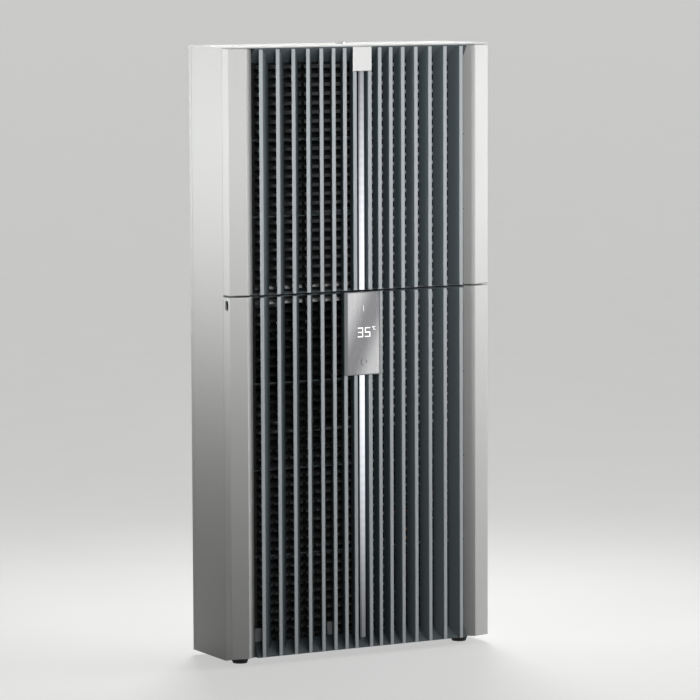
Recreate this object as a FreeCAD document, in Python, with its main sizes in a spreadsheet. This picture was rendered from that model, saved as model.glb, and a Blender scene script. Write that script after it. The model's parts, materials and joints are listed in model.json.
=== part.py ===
import FreeCAD
import Part
import Sketcher
import math
import os
import re

# Wall-mounted enclosure cooling unit, shown standing on its feet.
# Millimetres, +Z up, front towards -Y, origin on the floor under the middle of the unit.

SIZES = (
    # outer form
    ("overall_width", 450.0),
    ("housing_height", 930.0),
    ("housing_depth", 131.0),
    ("front_bulge", 7.6),
    ("display_proud", 1.0),
    ("seal_thickness", 2.5),
    ("foot_height", 8.0),
    ("split_share", 0.598),
    ("split_gap", 3.0),
    # sheet metal and clearances
    ("sheet_wall", 1.5),
    ("top_wall", 2.0),
    ("top_edge_radius", 1.2),
    ("rear_edge", 8.0),
    ("flange_width", 20.0),
    ("seam_gap", 0.6),
    ("fit_gap", 0.3),
    ("cut_margin", 1.0),
    ("overlap", 1.0),
    # front covers
    ("cover_return", 20.0),
    ("cover_lift", 4.6),
    ("cover_wall", 2.2),
    ("column_width", 27.0),
    ("column_lean", 7.0),
    ("column_radius", 1.2),
    ("reveal_width", 14.5),
    ("reveal_depth", 12.0),
    ("louvre_setback", 2.4),
    ("cover_bar_height", 14.0),
    # fanned lamellae
    ("first_lamella", 12.9),
    ("first_pitch", 17.3),
    ("pitch_growth", 1.85),
    ("lamella_width", 6.0),
    ("lamella_back_width", 9.0),
    ("lamella_depth", 10.2),
    ("lamella_fan", 0.075),
    ("lamella_inset", 10.6),
    ("trim_depth", 1.2),
    ("trim_chamfer", 0.4),
    ("closing_height", 22.0),
    ("closing_edge", 1.5),
    ("rib_wall", 2.0),
    # inner louvres
    ("louvre_depth", 9.0),
    ("louvre_border", 6.0),
    ("slat_pitch", 13.8),
    ("slat_wall", 3.0),
    ("slat_drop", 5.0),
    ("mullion_wall", 3.0),
    ("clip_width", 12.0),
    ("clip_height", 20.0),
    ("clip_depth", 3.0),
    ("clip_inset", 7.0),
    ("clip_share", 0.284),
    # light strips, plate, display and service port
    ("light_width", 7.0),
    ("light_taper", 0.4),
    ("light_recess", 2.2),
    ("light_depth", 4.5),
    ("light_foot", 16.0),
    ("plate_height", 37.0),
    ("plate_proud", 0.8),
    ("display_height", 127.5),
    ("display_chamfer", 4.6),
    ("display_side", 1.6),
    ("window_wall", 1.0),
    ("window_recess", 0.25),
    ("window_border", 1.2),
    ("port_height", 16.0),
    ("port_width", 10.4),
    ("port_drop", 12.5),
    ("port_inset", 9.0),
    ("port_depth", 10.0),
    ("port_wall", 1.2),
    # rear and base
    ("insert_inset_x", 30.0),
    ("insert_inset_z", 29.0),
    ("insert_bore", 6.8),
    ("insert_body", 11.0),
    ("insert_flange", 16.0),
    ("insert_flange_wall", 1.0),
    ("insert_length", 14.0),
    ("seal_inset", 4.0),
    ("seal_width", 12.0),
    ("foot_top_radius", 14.0),
    ("foot_floor_radius", 11.0),
    ("foot_inset_x", 32.0),
    ("foot_inset_y", 14.0),
    ("tray_height", 20.0),
    ("bush_bore", 6.8),
    ("bush_diameter", 16.0),
    ("bush_proud", 4.0),
    ("bush_chamfer", 1.0),
    ("bush_shank", 12.0),
    ("bush_length", 18.0),
    # inner circuit
    ("partition_lift", 16.8),
    ("impeller_share", 0.78),
    ("impeller_clearance", 8.5),
    ("impeller_width", 48.0),
    ("impeller_disc", 2.0),
    ("impeller_eye_step", 30.0),
    ("impeller_blades", 9),
    ("impeller_blade_wall", 2.5),
    ("impeller_blade_sweep", 38.0),
    ("impeller_blade_reach", 7.0),
    ("impeller_blade_inset", 1.0),
    ("impeller_boss_radius", 20.0),
    ("impeller_boss_top", 16.0),
    ("impeller_boss_height", 12.0),
    ("impeller_gap", 2.5),
    ("inlet_throat_step", 33.0),
    ("inlet_mouth_step", 23.0),
    ("inlet_flange_step", 9.0),
    ("inlet_straight", 10.0),
    ("inner_motor_radius", 38.0),
    ("inner_motor_depth", 20.0),
    ("motor_chamfer", 4.0),
    ("shaft_radius", 4.0),
    ("shaft_clearance", 0.06),
    ("shaft_length", 14.0),
    ("outlet_inset", 45.0),
    ("outlet_lift", 23.0),
    ("outlet_drop", 15.0),
    ("evaporator_left_inset", 20.0),
    ("evaporator_right_inset", 40.0),
    ("evaporator_depth", 42.0),
    ("evaporator_front", 20.0),
    ("evaporator_share", 0.369),
    ("pan_height", 14.0),
    ("pan_margin", 3.0),
    ("drain_radius", 6.0),
    ("drain_bore", 4.5),
    ("drain_inset", 30.0),
    ("drain_step", 10.0),
    ("drain_end", 2.0),
    # outer circuit
    ("condenser_inset", 17.0),
    ("condenser_step", 90.0),
    ("condenser_depth", 38.0),
    ("condenser_gap", 22.5),
    ("coil_groove", 3.0),
    ("coil_groove_depth", 8.0),
    ("coil_groove_pitch", 9.0),
    ("bend_radius", 9.0),
    ("tube_radius", 4.0),
    ("bend_pitch", 40.0),
    ("coil_gap", 4.0),
    ("fan_side_gap", 6.0),
    ("outer_fan_drop", 18.0),
    ("fan_frame_width", 216.0),
    ("fan_frame_depth", 50.0),
    ("fan_frame_wall", 5.0),
    ("fan_tip_gap", 3.0),
    ("fan_hub_radius", 36.0),
    ("fan_hub_depth", 22.0),
    ("fan_hub_chamfer", 4.0),
    ("fan_hub_dish", 2.0),
    ("fan_blades", 7),
    ("fan_blade_wall", 2.5),
    ("fan_blade_root", 30.0),
    ("fan_blade_tip", 40.0),
    ("fan_root_rise", 0.78),
    ("fan_tip_rise", 0.36),
    ("fan_blade_shift", 1.0),
    ("outer_motor_radius", 30.0),
    ("outer_motor_depth", 20.0),
    ("strut_width", 8.0),
    ("strut_depth", 4.0),
    ("bulkhead_margin", 6.0),
    ("compressor_inset", 75.0),
    ("compressor_shift", 1.0),
    ("compressor_clearance", 4.4),
    ("compressor_height", 170.0),
    ("compressor_dome", 18.0),
    ("compressor_foot_round", 9.0),
    ("compressor_plate", 3.0),
    ("grommet_radius", 7.0),
    ("grommet_height", 12.0),
    ("grommet_step", 2.0),
    ("accumulator_step", 60.0),
    ("accumulator_shift", 18.0),
    ("accumulator_radius", 15.0),
    ("accumulator_low", 54.0),
    ("accumulator_height", 120.0),
    ("accumulator_round", 9.0),
    ("drier_step", 64.0),
    ("drier_radius", 11.0),
    ("drier_low", 90.0),
    ("drier_height", 80.0),
    ("drier_neck", 5.5),
    ("valve_height", 24.0),
    ("valve_width", 18.0),
    ("liquid_pipe_radius", 3.0),
    ("gas_pipe_radius", 5.0),
    ("pipe_bend", 12.0),
    ("pipe_clearance", 1.0),
    ("pipe_lane", 2.0),
    ("discharge_rise", 13.2),
    ("suction_rise", 48.0),
    ("suction_inset", 14.0),
    ("liquid_inset", 12.0),
    ("sump_lift", 16.0),
    ("gas_share", 0.6),
    ("cold_share", 0.3),
    ("inverter_inset", 10.0),
    ("inverter_width", 123.0),
    ("inverter_lift", 45.5),
    ("inverter_drop", 26.0),
    ("inverter_gap", 8.4),
    ("inverter_fin", 12.0),
    ("inverter_fin_wall", 3.0),
    ("inverter_fin_pitch", 10.0),
    ("inlet_inset", 80.0),
    ("inlet_drop", 86.0),
    ("inlet_body_width", 40.0),
    ("inlet_body_height", 20.0),
    ("inlet_body_depth", 15.0),
    ("inlet_lip", 3.0),
    ("inlet_lip_wall", 1.5),
    ("inlet_socket_depth", 11.0),
    ("inlet_socket_wall", 5.0),
)
LAMELLAE_PER_SIDE = 8
PLATE_LAMELLA_COUNT = 1
DISPLAY_LAMELLA_COUNT = 2
UPPER_RIB_COUNT = 2
LOWER_RIB_COUNT = 3
BLADE_STATION_COUNT = 4
NEAR = 1e-3
ALIASES = [alias for alias, value in SIZES]

# Places worked out from the sizes, as formulas of the sheet's names.
HALF = "(overall_width / 2)"
DEPTH = "(seal_thickness + housing_depth + front_bulge + display_proud)"
REAR = f"({DEPTH} / 2 - seal_thickness)"
CORNER = f"({REAR} - housing_depth)"
FRONT = f"({CORNER} - front_bulge)"
LAMELLA_FRONT = f"({FRONT} + trim_depth)"
LAMELLA_BACK = f"({LAMELLA_FRONT} + lamella_depth)"
LIGHT_FRONT = f"({FRONT} + light_recess)"
LIGHT_BACK = f"({LIGHT_FRONT} + light_depth)"
SEAM = f"({CORNER} + cover_return)"
COVER_BACK = f"({SEAM} - seam_gap)"
COLUMN_X = f"({HALF} - column_width)"
REVEAL_X = f"({COLUMN_X} - reveal_width)"
REVEAL_BACK = f"({CORNER} - column_lean + reveal_depth)"
LOUVRE_FRONT = f"({REVEAL_BACK} + louvre_setback)"
LOUVRE_BACK = f"({LOUVRE_FRONT} + louvre_depth)"
INSERT_X = f"({REVEAL_X} - fit_gap)"
BASE = "foot_height"
TOP = "(foot_height + housing_height)"
UNDER_TOP = f"({TOP} - top_wall)"
SPLIT = "(foot_height + split_share * housing_height)"
UPPER = (f"({SPLIT} + split_gap / 2)", f"({UNDER_TOP} - seam_gap)")
LOWER = ("(foot_height + cover_lift)", f"({SPLIT} - split_gap / 2)")
INSIDE_X = f"({HALF} - sheet_wall - fit_gap)"
INSIDE_FRONT = f"({SEAM} + sheet_wall + fit_gap)"
PANEL_BACK = f"({REAR} - rear_edge - seam_gap)"
INSIDE_BACK = f"({PANEL_BACK} - sheet_wall - fit_gap)"
REAR_INSIDE = f"({REAR} - sheet_wall)"
FLOOR = "(foot_height + sheet_wall)"
PARTITION = f"({SPLIT} + partition_lift)"
CHAMBER_FLOOR = f"({PARTITION} + sheet_wall)"
CHAMBER_FRONT = f"({INSIDE_FRONT} + sheet_wall)"
BULKHEAD_BACK = f"({INSIDE_FRONT} + sheet_wall)"
TRAY_TOP = "(foot_height + tray_height)"
PLATE_FOOT = f"({UPPER[1]} - plate_height)"
DISPLAY_FOOT = f"({LOWER[1]} - display_height)"
PAN_FLOOR = f"({CHAMBER_FLOOR} + sheet_wall)"
EVAPORATOR_HEIGHT = f"(evaporator_share * ({UNDER_TOP} - {PAN_FLOOR}))"
EVAPORATOR_LEFT = f"(evaporator_left_inset - {HALF})"
EVAPORATOR_RIGHT = f"({HALF} - evaporator_right_inset)"
COIL_FRONT = f"({CHAMBER_FRONT} + evaporator_front)"
COIL_BACK = f"({COIL_FRONT} + evaporator_depth)"
COIL_TOP = f"({PAN_FLOOR} + {EVAPORATOR_HEIGHT})"
OUTLET = (f"({PAN_FLOOR} + outlet_lift)", f"({COIL_TOP} - outlet_drop)")
BAFFLE_TOP = f"({COIL_TOP} + sheet_wall)"
IMPELLER = f"(impeller_share * ({UNDER_TOP} - {BAFFLE_TOP}) / 2)"
INNER_FAN_Z = f"({BAFFLE_TOP} + impeller_clearance + {IMPELLER})"
IMPELLER_BACK = f"({CHAMBER_FRONT} + inner_motor_depth + fit_gap)"
IMPELLER_EYE = f"({IMPELLER} - impeller_eye_step)"
INLET_MOUTH = f"({IMPELLER} - inlet_mouth_step)"
DRAIN_X = f"(drain_inset - {HALF})"
DRAIN_Y = f"({COIL_BACK} - drain_step)"
OUTER_FAN_X = f"({DRAIN_X} + drain_radius + fan_side_gap + fan_frame_width / 2)"
OUTER_FAN_Z = f"({PARTITION} - outer_fan_drop - fan_frame_width / 2)"
OUTER_FAN_LOW = f"({OUTER_FAN_Z} - fan_frame_width / 2)"
FAN_DUCT = "(fan_frame_width / 2 - fan_frame_wall)"
FAN_FRONT = f"({BULKHEAD_BACK} + fit_gap)"
FAN_BACK = f"({FAN_FRONT} + fan_frame_depth)"
MOTOR_FRONT = f"({FAN_BACK} - outer_motor_depth)"
HUB_FRONT = f"({MOTOR_FRONT} - fit_gap - fan_hub_depth)"
COMPRESSOR_X = f"({HALF} - compressor_inset)"
COMPRESSOR_Y = f"(({INSIDE_FRONT} + {INSIDE_BACK}) / 2 + compressor_shift)"
COMPRESSOR_RADIUS = f"(({INSIDE_BACK} - {INSIDE_FRONT}) / 2 - compressor_clearance)"
GROMMET_CIRCLE = f"({COMPRESSOR_RADIUS} - grommet_step)"
COMPRESSOR_FOOT = f"({FLOOR} + grommet_height)"
COMPRESSOR_BASE = f"({COMPRESSOR_FOOT} + compressor_plate)"
COMPRESSOR_TOP = f"({COMPRESSOR_BASE} + compressor_height)"
ACCUMULATOR_X = f"({COMPRESSOR_X} - accumulator_step)"
ACCUMULATOR_Y = f"({COMPRESSOR_Y} + accumulator_shift)"
DRIER_X = f"({COMPRESSOR_X} - drier_step)"
CONDENSER_LEFT = f"(condenser_inset - {HALF})"
CONDENSER_RIGHT = f"({COMPRESSOR_X} - condenser_step)"
CONDENSER_FRONT = f"({INSIDE_FRONT} + coil_gap)"
CONDENSER_BACK = f"({CONDENSER_FRONT} + condenser_depth)"
CONDENSER_TOP = f"({OUTER_FAN_LOW} - condenser_gap)"
SUCTION_X = f"({INSIDE_X} - suction_inset)"
SUCTION_Y = f"({INSIDE_BACK} - gas_pipe_radius - pipe_clearance)"
LIQUID_Y = f"({CHAMBER_FRONT} + liquid_inset)"
INVERTER_RIGHT = f"({HALF} - inverter_inset)"
INVERTER_LEFT = f"({INVERTER_RIGHT} - inverter_width)"
INVERTER_BACK = f"({REAR} - inlet_body_depth - inverter_gap)"
INLET_X = f"({HALF} - inlet_inset)"
INLET_Z = f"({PARTITION} - inlet_drop)"

doc = FreeCAD.newDocument("CoolingUnit")
sheet = doc.addObject("Spreadsheet::Sheet", "Sizes")
for row, (alias, value) in enumerate(SIZES, start=1):
    sheet.set(f"A{row}", alias)
    sheet.set(f"B{row}", str(value))
    sheet.setAlias(f"B{row}", alias)
doc.recompute()

pieces = []


def bound(formula):
    """Turn a formula of size names into an expression on the sheet."""
    def on_sheet(found):
        word = found.group()
        return f"Sizes.{word}" if word in ALIASES else word
    return re.sub(r"[a-z_][a-z_0-9]*", on_sheet, str(formula))


def number(formula):
    """Work out a formula's present value in millimetres."""
    value = sheet.evalExpression(bound(formula))
    return float(getattr(value, "Value", value))


def keep(name, piece):
    """Give a finished piece the name of its file."""
    piece.Label = name
    pieces.append(piece)
    return piece


def block(name, x_span, y_span, z_span):
    """A box between two formulas along each axis."""
    piece = doc.addObject("Part::Box", name)
    sides = zip("xyz", ("Length", "Width", "Height"), (x_span, y_span, z_span))
    for axis, side, (low, high) in sides:
        piece.setExpression(side, bound(f"({high}) - ({low})"))
        piece.setExpression(f"Placement.Base.{axis}", bound(low))
    return piece


TURN = {
    "Z": FreeCAD.Rotation(),
    "Y": FreeCAD.Rotation(FreeCAD.Vector(1, 0, 0), -90),
    "X": FreeCAD.Rotation(FreeCAD.Vector(0, 1, 0), 90),
}


def put(piece, place, turn="Z"):
    """Turn a piece's own Z to an axis and bind its place."""
    piece.Placement = FreeCAD.Placement(FreeCAD.Vector(), TURN[turn])
    for axis, formula in zip("xyz", place):
        piece.setExpression(f"Placement.Base.{axis}", bound(formula))
    return piece


def rod(name, place, radius, length, turn="Z"):
    """A cylinder from its foot, along an axis."""
    piece = doc.addObject("Part::Cylinder", name)
    piece.setExpression("Radius", bound(radius))
    piece.setExpression("Height", bound(length))
    return put(piece, place, turn)


def wedge(name, y_span, front_x, back_x, front_z, back_z):
    """A block whose front and back rectangles differ, for blades, slats and sloping walls."""
    piece = doc.addObject("Part::Wedge", name)
    limits = {
        "Xmin": front_x[0], "Xmax": front_x[1], "X2min": back_x[0], "X2max": back_x[1],
        "Zmin": front_z[0], "Zmax": front_z[1], "Z2min": back_z[0], "Z2max": back_z[1],
        "Ymin": y_span[0], "Ymax": y_span[1],
    }
    for limit, formula in limits.items():
        piece.setExpression(limit, bound(formula))
    return piece


def join(name, shapes):
    """Fuse solids that are one moulding or one weldment."""
    piece = doc.addObject("Part::MultiFuse", name)
    piece.Shapes = shapes
    piece.Refine = True
    return piece


def carve(name, base, tools):
    """Cut one or more tools from a solid."""
    piece = doc.addObject("Part::Cut", name)
    piece.Base = base
    piece.Tool = tools[0] if len(tools) == 1 else join(f"{name} tools", tools)
    return piece


def gather(name, shapes):
    """Group separate solids of one kind in one node."""
    piece = doc.addObject("Part::Compound", name)
    piece.Links = shapes
    return piece


def mirrored(name, source):
    """The same piece on the other side of the unit."""
    piece = doc.addObject("Part::Mirroring", name)
    piece.Source = source
    piece.Normal = FreeCAD.Vector(1, 0, 0)
    return piece


def origin_part(body, role):
    """One of a body's own origin planes or axes."""
    return next(item for item in body.Origin.OriginFeatures if item.Role == role)


def new_sketch(body, name, plane, offset):
    """A sketch on one of the body's own origin planes, shifted along the plane's normal."""
    sketch = body.newObject("Sketcher::SketchObject", name)
    sketch.AttachmentSupport = [(origin_part(body, f"{plane}_Plane"), "")]
    sketch.MapMode = "FlatFace"
    sketch.setExpression("AttachmentOffset.Base.z", bound(offset))
    return sketch


def constrain(sketch, kind, items, formula):
    """Add a driving dimension bound to the sheet."""
    index = sketch.addConstraint(Sketcher.Constraint(kind, *items, number(formula)))
    sketch.setExpression(f"Constraints[{index}]", bound(formula))


def draw_outline(sketch, points):
    """A closed outline whose corners are formulas."""
    first = sketch.GeometryCount
    corners = [FreeCAD.Vector(number(x), number(y), 0) for x, y in points]
    count = len(corners)
    for index in range(count):
        sketch.addGeometry(Part.LineSegment(corners[index], corners[(index + 1) % count]))
    for index in range(count):
        following = first + (index + 1) % count
        sketch.addConstraint(Sketcher.Constraint("Coincident", first + index, 2, following, 1))
    for index, (x, y) in enumerate(points):
        constrain(sketch, "DistanceX", (-1, 1, first + index, 1), x)
        constrain(sketch, "DistanceY", (-1, 1, first + index, 1), y)


def draw_circle(sketch, x, y, radius):
    """A circle whose centre and radius are formulas."""
    centre = FreeCAD.Vector(number(x), number(y), 0)
    index = sketch.addGeometry(Part.Circle(centre, FreeCAD.Vector(0, 0, 1), number(radius)))
    constrain(sketch, "DistanceX", (-1, 1, index, 3), x)
    constrain(sketch, "DistanceY", (-1, 1, index, 3), y)
    constrain(sketch, "Radius", (index,), radius)


def side_step(start, end, wall):
    """The step from a line to its parallel on the left-hand side."""
    run = (end - start).normalize()
    return FreeCAD.Vector(-run.y, run.x, 0) * wall


def draw_folded_wall(sketch, points, wall):
    """A bent wall of even thickness: the outline's outer corners and a parallel line inside."""
    outer = [FreeCAD.Vector(number(x), number(y), 0) for x, y in points]
    steps = [side_step(a, b, number(wall)) for a, b in zip(outer, outer[1:])]
    inner = [corner + step for corner, step in zip(outer, steps + steps[-1:])]
    lines = len(outer) - 1
    for rail in (outer, inner):
        for start, end in zip(rail, rail[1:]):
            sketch.addGeometry(Part.LineSegment(start, end))
    sketch.addGeometry(Part.LineSegment(outer[0], inner[0]))
    sketch.addGeometry(Part.LineSegment(outer[-1], inner[-1]))
    foot_cap, head_cap = 2 * lines, 2 * lines + 1
    for rail in (0, lines):
        for index in range(rail, rail + lines - 1):
            sketch.addConstraint(Sketcher.Constraint("Coincident", index, 2, index + 1, 1))
    sketch.addConstraint(Sketcher.Constraint("Coincident", foot_cap, 1, 0, 1))
    sketch.addConstraint(Sketcher.Constraint("Coincident", foot_cap, 2, lines, 1))
    sketch.addConstraint(Sketcher.Constraint("Coincident", head_cap, 1, lines - 1, 2))
    sketch.addConstraint(Sketcher.Constraint("Coincident", head_cap, 2, 2 * lines - 1, 2))
    sketch.addConstraint(Sketcher.Constraint("Perpendicular", foot_cap, 0))
    sketch.addConstraint(Sketcher.Constraint("Perpendicular", head_cap, lines - 1))
    for index in range(lines):
        sketch.addConstraint(Sketcher.Constraint("Parallel", lines + index, index))
        constrain(sketch, "Distance", (lines + index, 1, index), wall)
    for index, (x, y) in enumerate(points):
        line, end = (index, 1) if index < lines else (lines - 1, 2)
        constrain(sketch, "DistanceX", (-1, 1, line, end), x)
        constrain(sketch, "DistanceY", (-1, 1, line, end), y)


def pad(body, sketch, length):
    """Extrude a sketch along its normal."""
    feature = body.newObject("PartDesign::Pad", f"{body.Name}Pad")
    feature.Profile = sketch
    feature.setExpression("Length", bound(length))
    return feature


def extruded(name, plane, span, outlines=(), circles=(), wall=None):
    """A body padded between two formulas along the plane's normal axis."""
    body = doc.addObject("PartDesign::Body", name)
    low, high = span
    offset = f"-({high})" if plane == "XZ" else low
    sketch = new_sketch(body, f"{body.Name}Sketch", plane, offset)
    for points in outlines:
        if wall:
            draw_folded_wall(sketch, points, wall)
        else:
            draw_outline(sketch, points)
    for circle in circles:
        draw_circle(sketch, *circle)
    pad(body, sketch, f"({high}) - ({low})")
    return body


def turned(name, place, profile, turn="Z"):
    """A body revolved about its own Z from a profile of (radius, height) corners."""
    body = doc.addObject("PartDesign::Body", name)
    sketch = new_sketch(body, f"{body.Name}Sketch", "XZ", "0")
    draw_outline(sketch, profile)
    spin = body.newObject("PartDesign::Revolution", f"{body.Name}Turn")
    spin.Profile = sketch
    spin.ReferenceAxis = (sketch, ["V_Axis"])
    spin.Angle = 360
    return put(body, place, turn)


def round_edges(body, radius, wanted):
    """Round the edges of a body that pass a test."""
    doc.recompute()
    edges = enumerate(body.Shape.Edges, start=1)
    names = [f"Edge{index}" for index, edge in edges if wanted(edge)]
    solid = body.Tip
    fillet = body.newObject("PartDesign::Fillet", f"{body.Name}Round")
    fillet.Base = (solid, names)
    fillet.setExpression("Radius", bound(radius))
    return body


def is_circle_at(level):
    """A test for the level circles of an upright turned body."""
    height = number(level)

    def wanted(edge):
        return edge.Curve.TypeId == "Part::GeomCircle" and abs(edge.BoundBox.ZMin - height) < NEAR
    return wanted


def rectangle(x_span, y_span):
    """The four corners of a rectangle."""
    (left, right), (low, high) = x_span, y_span
    return [(left, low), (right, low), (right, high), (left, high)]


def mid(formula):
    """A span that is even about zero."""
    return (f"-({formula})", formula)


# Housing


def make_rear_panel():
    """Shallow folded tray with the enclosure air openings and the power inlet cut-out."""
    front = f"({REAR} - rear_edge)"
    tray = block("rear tray", mid(HALF), (front, REAR), (BASE, UNDER_TOP))
    hollow = block("rear tray hollow", mid(f"{HALF} - sheet_wall"), (front, REAR_INSIDE),
                   (FLOOR, f"{UNDER_TOP} - sheet_wall"))
    through = (front, f"{REAR} + cut_margin")
    length = "rear_edge + cut_margin"
    outlet = block("rear outlet", mid(f"{HALF} - outlet_inset"), through, OUTLET)
    inlet = rod("rear inlet", ("0", front, INNER_FAN_Z), INLET_MOUTH, length, "Y")
    half_x, half_z = "(inlet_body_width / 2 + fit_gap)", "(inlet_body_height / 2 + fit_gap)"
    socket = block("rear socket", (f"{INLET_X} - {half_x}", f"{INLET_X} + {half_x}"), through,
                   (f"{INLET_Z} - {half_z}", f"{INLET_Z} + {half_z}"))
    holes = [rod("insert hole", place, "insert_body / 2 + fit_gap", length, "Y")
             for place in insert_places(front)]
    keep("rear_panel", carve("rear panel", tray, [hollow, outlet, inlet, socket] + holes))


def insert_places(y):
    """Places of the four mounting inserts."""
    heights = (f"{BASE} + insert_inset_z", f"{UNDER_TOP} - insert_inset_z")
    return [(f"{side} * ({HALF} - insert_inset_x)", y, z) for side in (-1, 1) for z in heights]


def make_mount_inserts():
    """Threaded rivet nuts whose flanges sit on the rear face."""
    solids = []
    for x, y, z in insert_places(REAR):
        foot = (x, f"{y} - insert_length", z)
        shank = rod("insert shank", foot, "insert_body / 2", "insert_length", "Y")
        flange = rod("insert flange", (x, y, z), "insert_flange / 2", "insert_flange_wall", "Y")
        bore = rod("insert bore", foot, "insert_bore / 2", "insert_length + insert_flange_wall", "Y")
        solids.append(carve("insert", join("insert blank", [shank, flange]), [bore]))
    keep("mount_inserts", gather("inserts", solids))


def make_rear_seal():
    """Foam strip round the edge of the rear face."""
    outside = block("seal outside", mid(f"{HALF} - seal_inset"), (REAR, f"{REAR} + seal_thickness"),
                    (f"{BASE} + seal_inset", f"{UNDER_TOP} - seal_inset"))
    rim = "seal_inset + seal_width"
    inside = block("seal inside", mid(f"{HALF} - ({rim})"), (REAR, f"{REAR} + seal_thickness"),
                   (f"{BASE} + {rim}", f"{UNDER_TOP} - ({rim})"))
    keep("rear_seal", carve("seal", outside, [inside]))


def make_side_panels():
    """Folded side panels with inward flanges front and back."""
    corners = [(f"-{HALF} + flange_width", SEAM), (f"-{HALF}", SEAM), (f"-{HALF}", PANEL_BACK),
               (f"-{HALF} + flange_width", PANEL_BACK)]
    left = extruded("left panel", "XY", (BASE, UNDER_TOP), [corners[::-1]], wall="sheet_wall")
    keep("left_side_panel", left)
    keep("right_side_panel", mirrored("right panel", left))


def make_top_panel():
    """Top plate whose front follows the columns and the lamellae, with a rounded upper edge."""
    half_outline = [(HALF, REAR), (HALF, CORNER), (COLUMN_X, f"{CORNER} - column_lean"),
                    (REVEAL_X, f"{FRONT} + trim_depth")]
    outline = half_outline + [(f"-({x})", y) for x, y in reversed(half_outline)]
    body = extruded("top plate", "XY", (UNDER_TOP, TOP), [outline],
                    [("0", "0", "bush_shank / 2 + fit_gap")])
    level = number(TOP)

    def is_rim(edge):
        return edge.BoundBox.ZMin > level - NEAR and edge.Curve.TypeId == "Part::GeomLine"
    round_edges(body, "top_edge_radius", is_rim)
    keep("top_panel", body)


def make_lifting_bush():
    """Turned bush for a lifting eye, its head on the top panel."""
    low = "bush_proud - bush_length"
    profile = [("bush_bore / 2", low), ("bush_shank / 2", low), ("bush_shank / 2", "0"),
               ("bush_diameter / 2", "0"), ("bush_diameter / 2", "bush_proud - bush_chamfer"),
               ("bush_diameter / 2 - bush_chamfer", "bush_proud"), ("bush_bore / 2", "bush_proud")]
    keep("lifting_bush", turned("bush", ("0", "0", TOP), profile))


def make_base():
    """Base tray between the side panels, and four rubber feet."""
    y_span = (INSIDE_FRONT, INSIDE_BACK)
    blank = block("tray blank", mid(INSIDE_X), y_span, (BASE, TRAY_TOP))
    hollow = block("tray hollow", mid(f"{INSIDE_X} - sheet_wall"),
                   (f"{INSIDE_FRONT} + sheet_wall", f"{INSIDE_BACK} - sheet_wall"),
                   (FLOOR, TRAY_TOP))
    drain = rod("tray drain hole", (DRAIN_X, DRAIN_Y, BASE), "drain_radius + fit_gap", "sheet_wall")
    keep("base_tray", carve("tray", blank, [hollow, drain]))
    feet = []
    for side in (-1, 1):
        for y in (f"{INSIDE_FRONT} + foot_inset_y", f"{INSIDE_BACK} - foot_inset_y"):
            foot = doc.addObject("Part::Cone", "foot")
            foot.setExpression("Radius1", bound("foot_floor_radius"))
            foot.setExpression("Radius2", bound("foot_top_radius"))
            foot.setExpression("Height", bound("foot_height"))
            feet.append(put(foot, (f"{side} * ({HALF} - foot_inset_x)", y, "0")))
    keep("feet", gather("foot set", feet))


def make_partition():
    """Bent bulkhead that closes the inner air circuit off from the front and from below."""
    fold = [(INSIDE_BACK, PARTITION), (INSIDE_FRONT, PARTITION),
            (INSIDE_FRONT, f"{UNDER_TOP} - fit_gap")]
    sheet_body = extruded("partition sheet", "YZ", mid(INSIDE_X), [fold[::-1]], wall="sheet_wall")
    through = "sheet_wall + 2 * cut_margin"
    low = f"{PARTITION} - cut_margin"
    suction = rod("suction hole", (SUCTION_X, SUCTION_Y, low), "gas_pipe_radius + fit_gap", through)
    liquid = rod("liquid hole", (DRIER_X, LIQUID_Y, low), "liquid_pipe_radius + fit_gap", through)
    drain = rod("drain hole", (DRAIN_X, DRAIN_Y, low), "drain_radius + fit_gap", through)
    keep("partition", carve("partition plate", sheet_body, [suction, liquid, drain]))


# Front covers


def lamella_run(step):
    """Distance from the middle to a lamella before scaling: the pitch grows evenly outwards."""
    growth = step * (step - 1) / 2
    return f"(first_lamella + {step} * first_pitch + {growth} * pitch_growth)"


def lamella_places():
    """Centre lines of the lamellae on one side, scaled so that the last one stands by the reveal."""
    outermost = lamella_run(LAMELLAE_PER_SIDE - 1)
    scale = f"(({REVEAL_X} - lamella_inset) / {outermost})"
    return [f"({scale} * {lamella_run(step)})" for step in range(LAMELLAE_PER_SIDE)]


def both_sides(places):
    """The same places left and right of the middle, with their step from the middle."""
    return [(step, f"({sign} * {place})") for step, place in enumerate(places) for sign in (-1, 1)]


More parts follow.
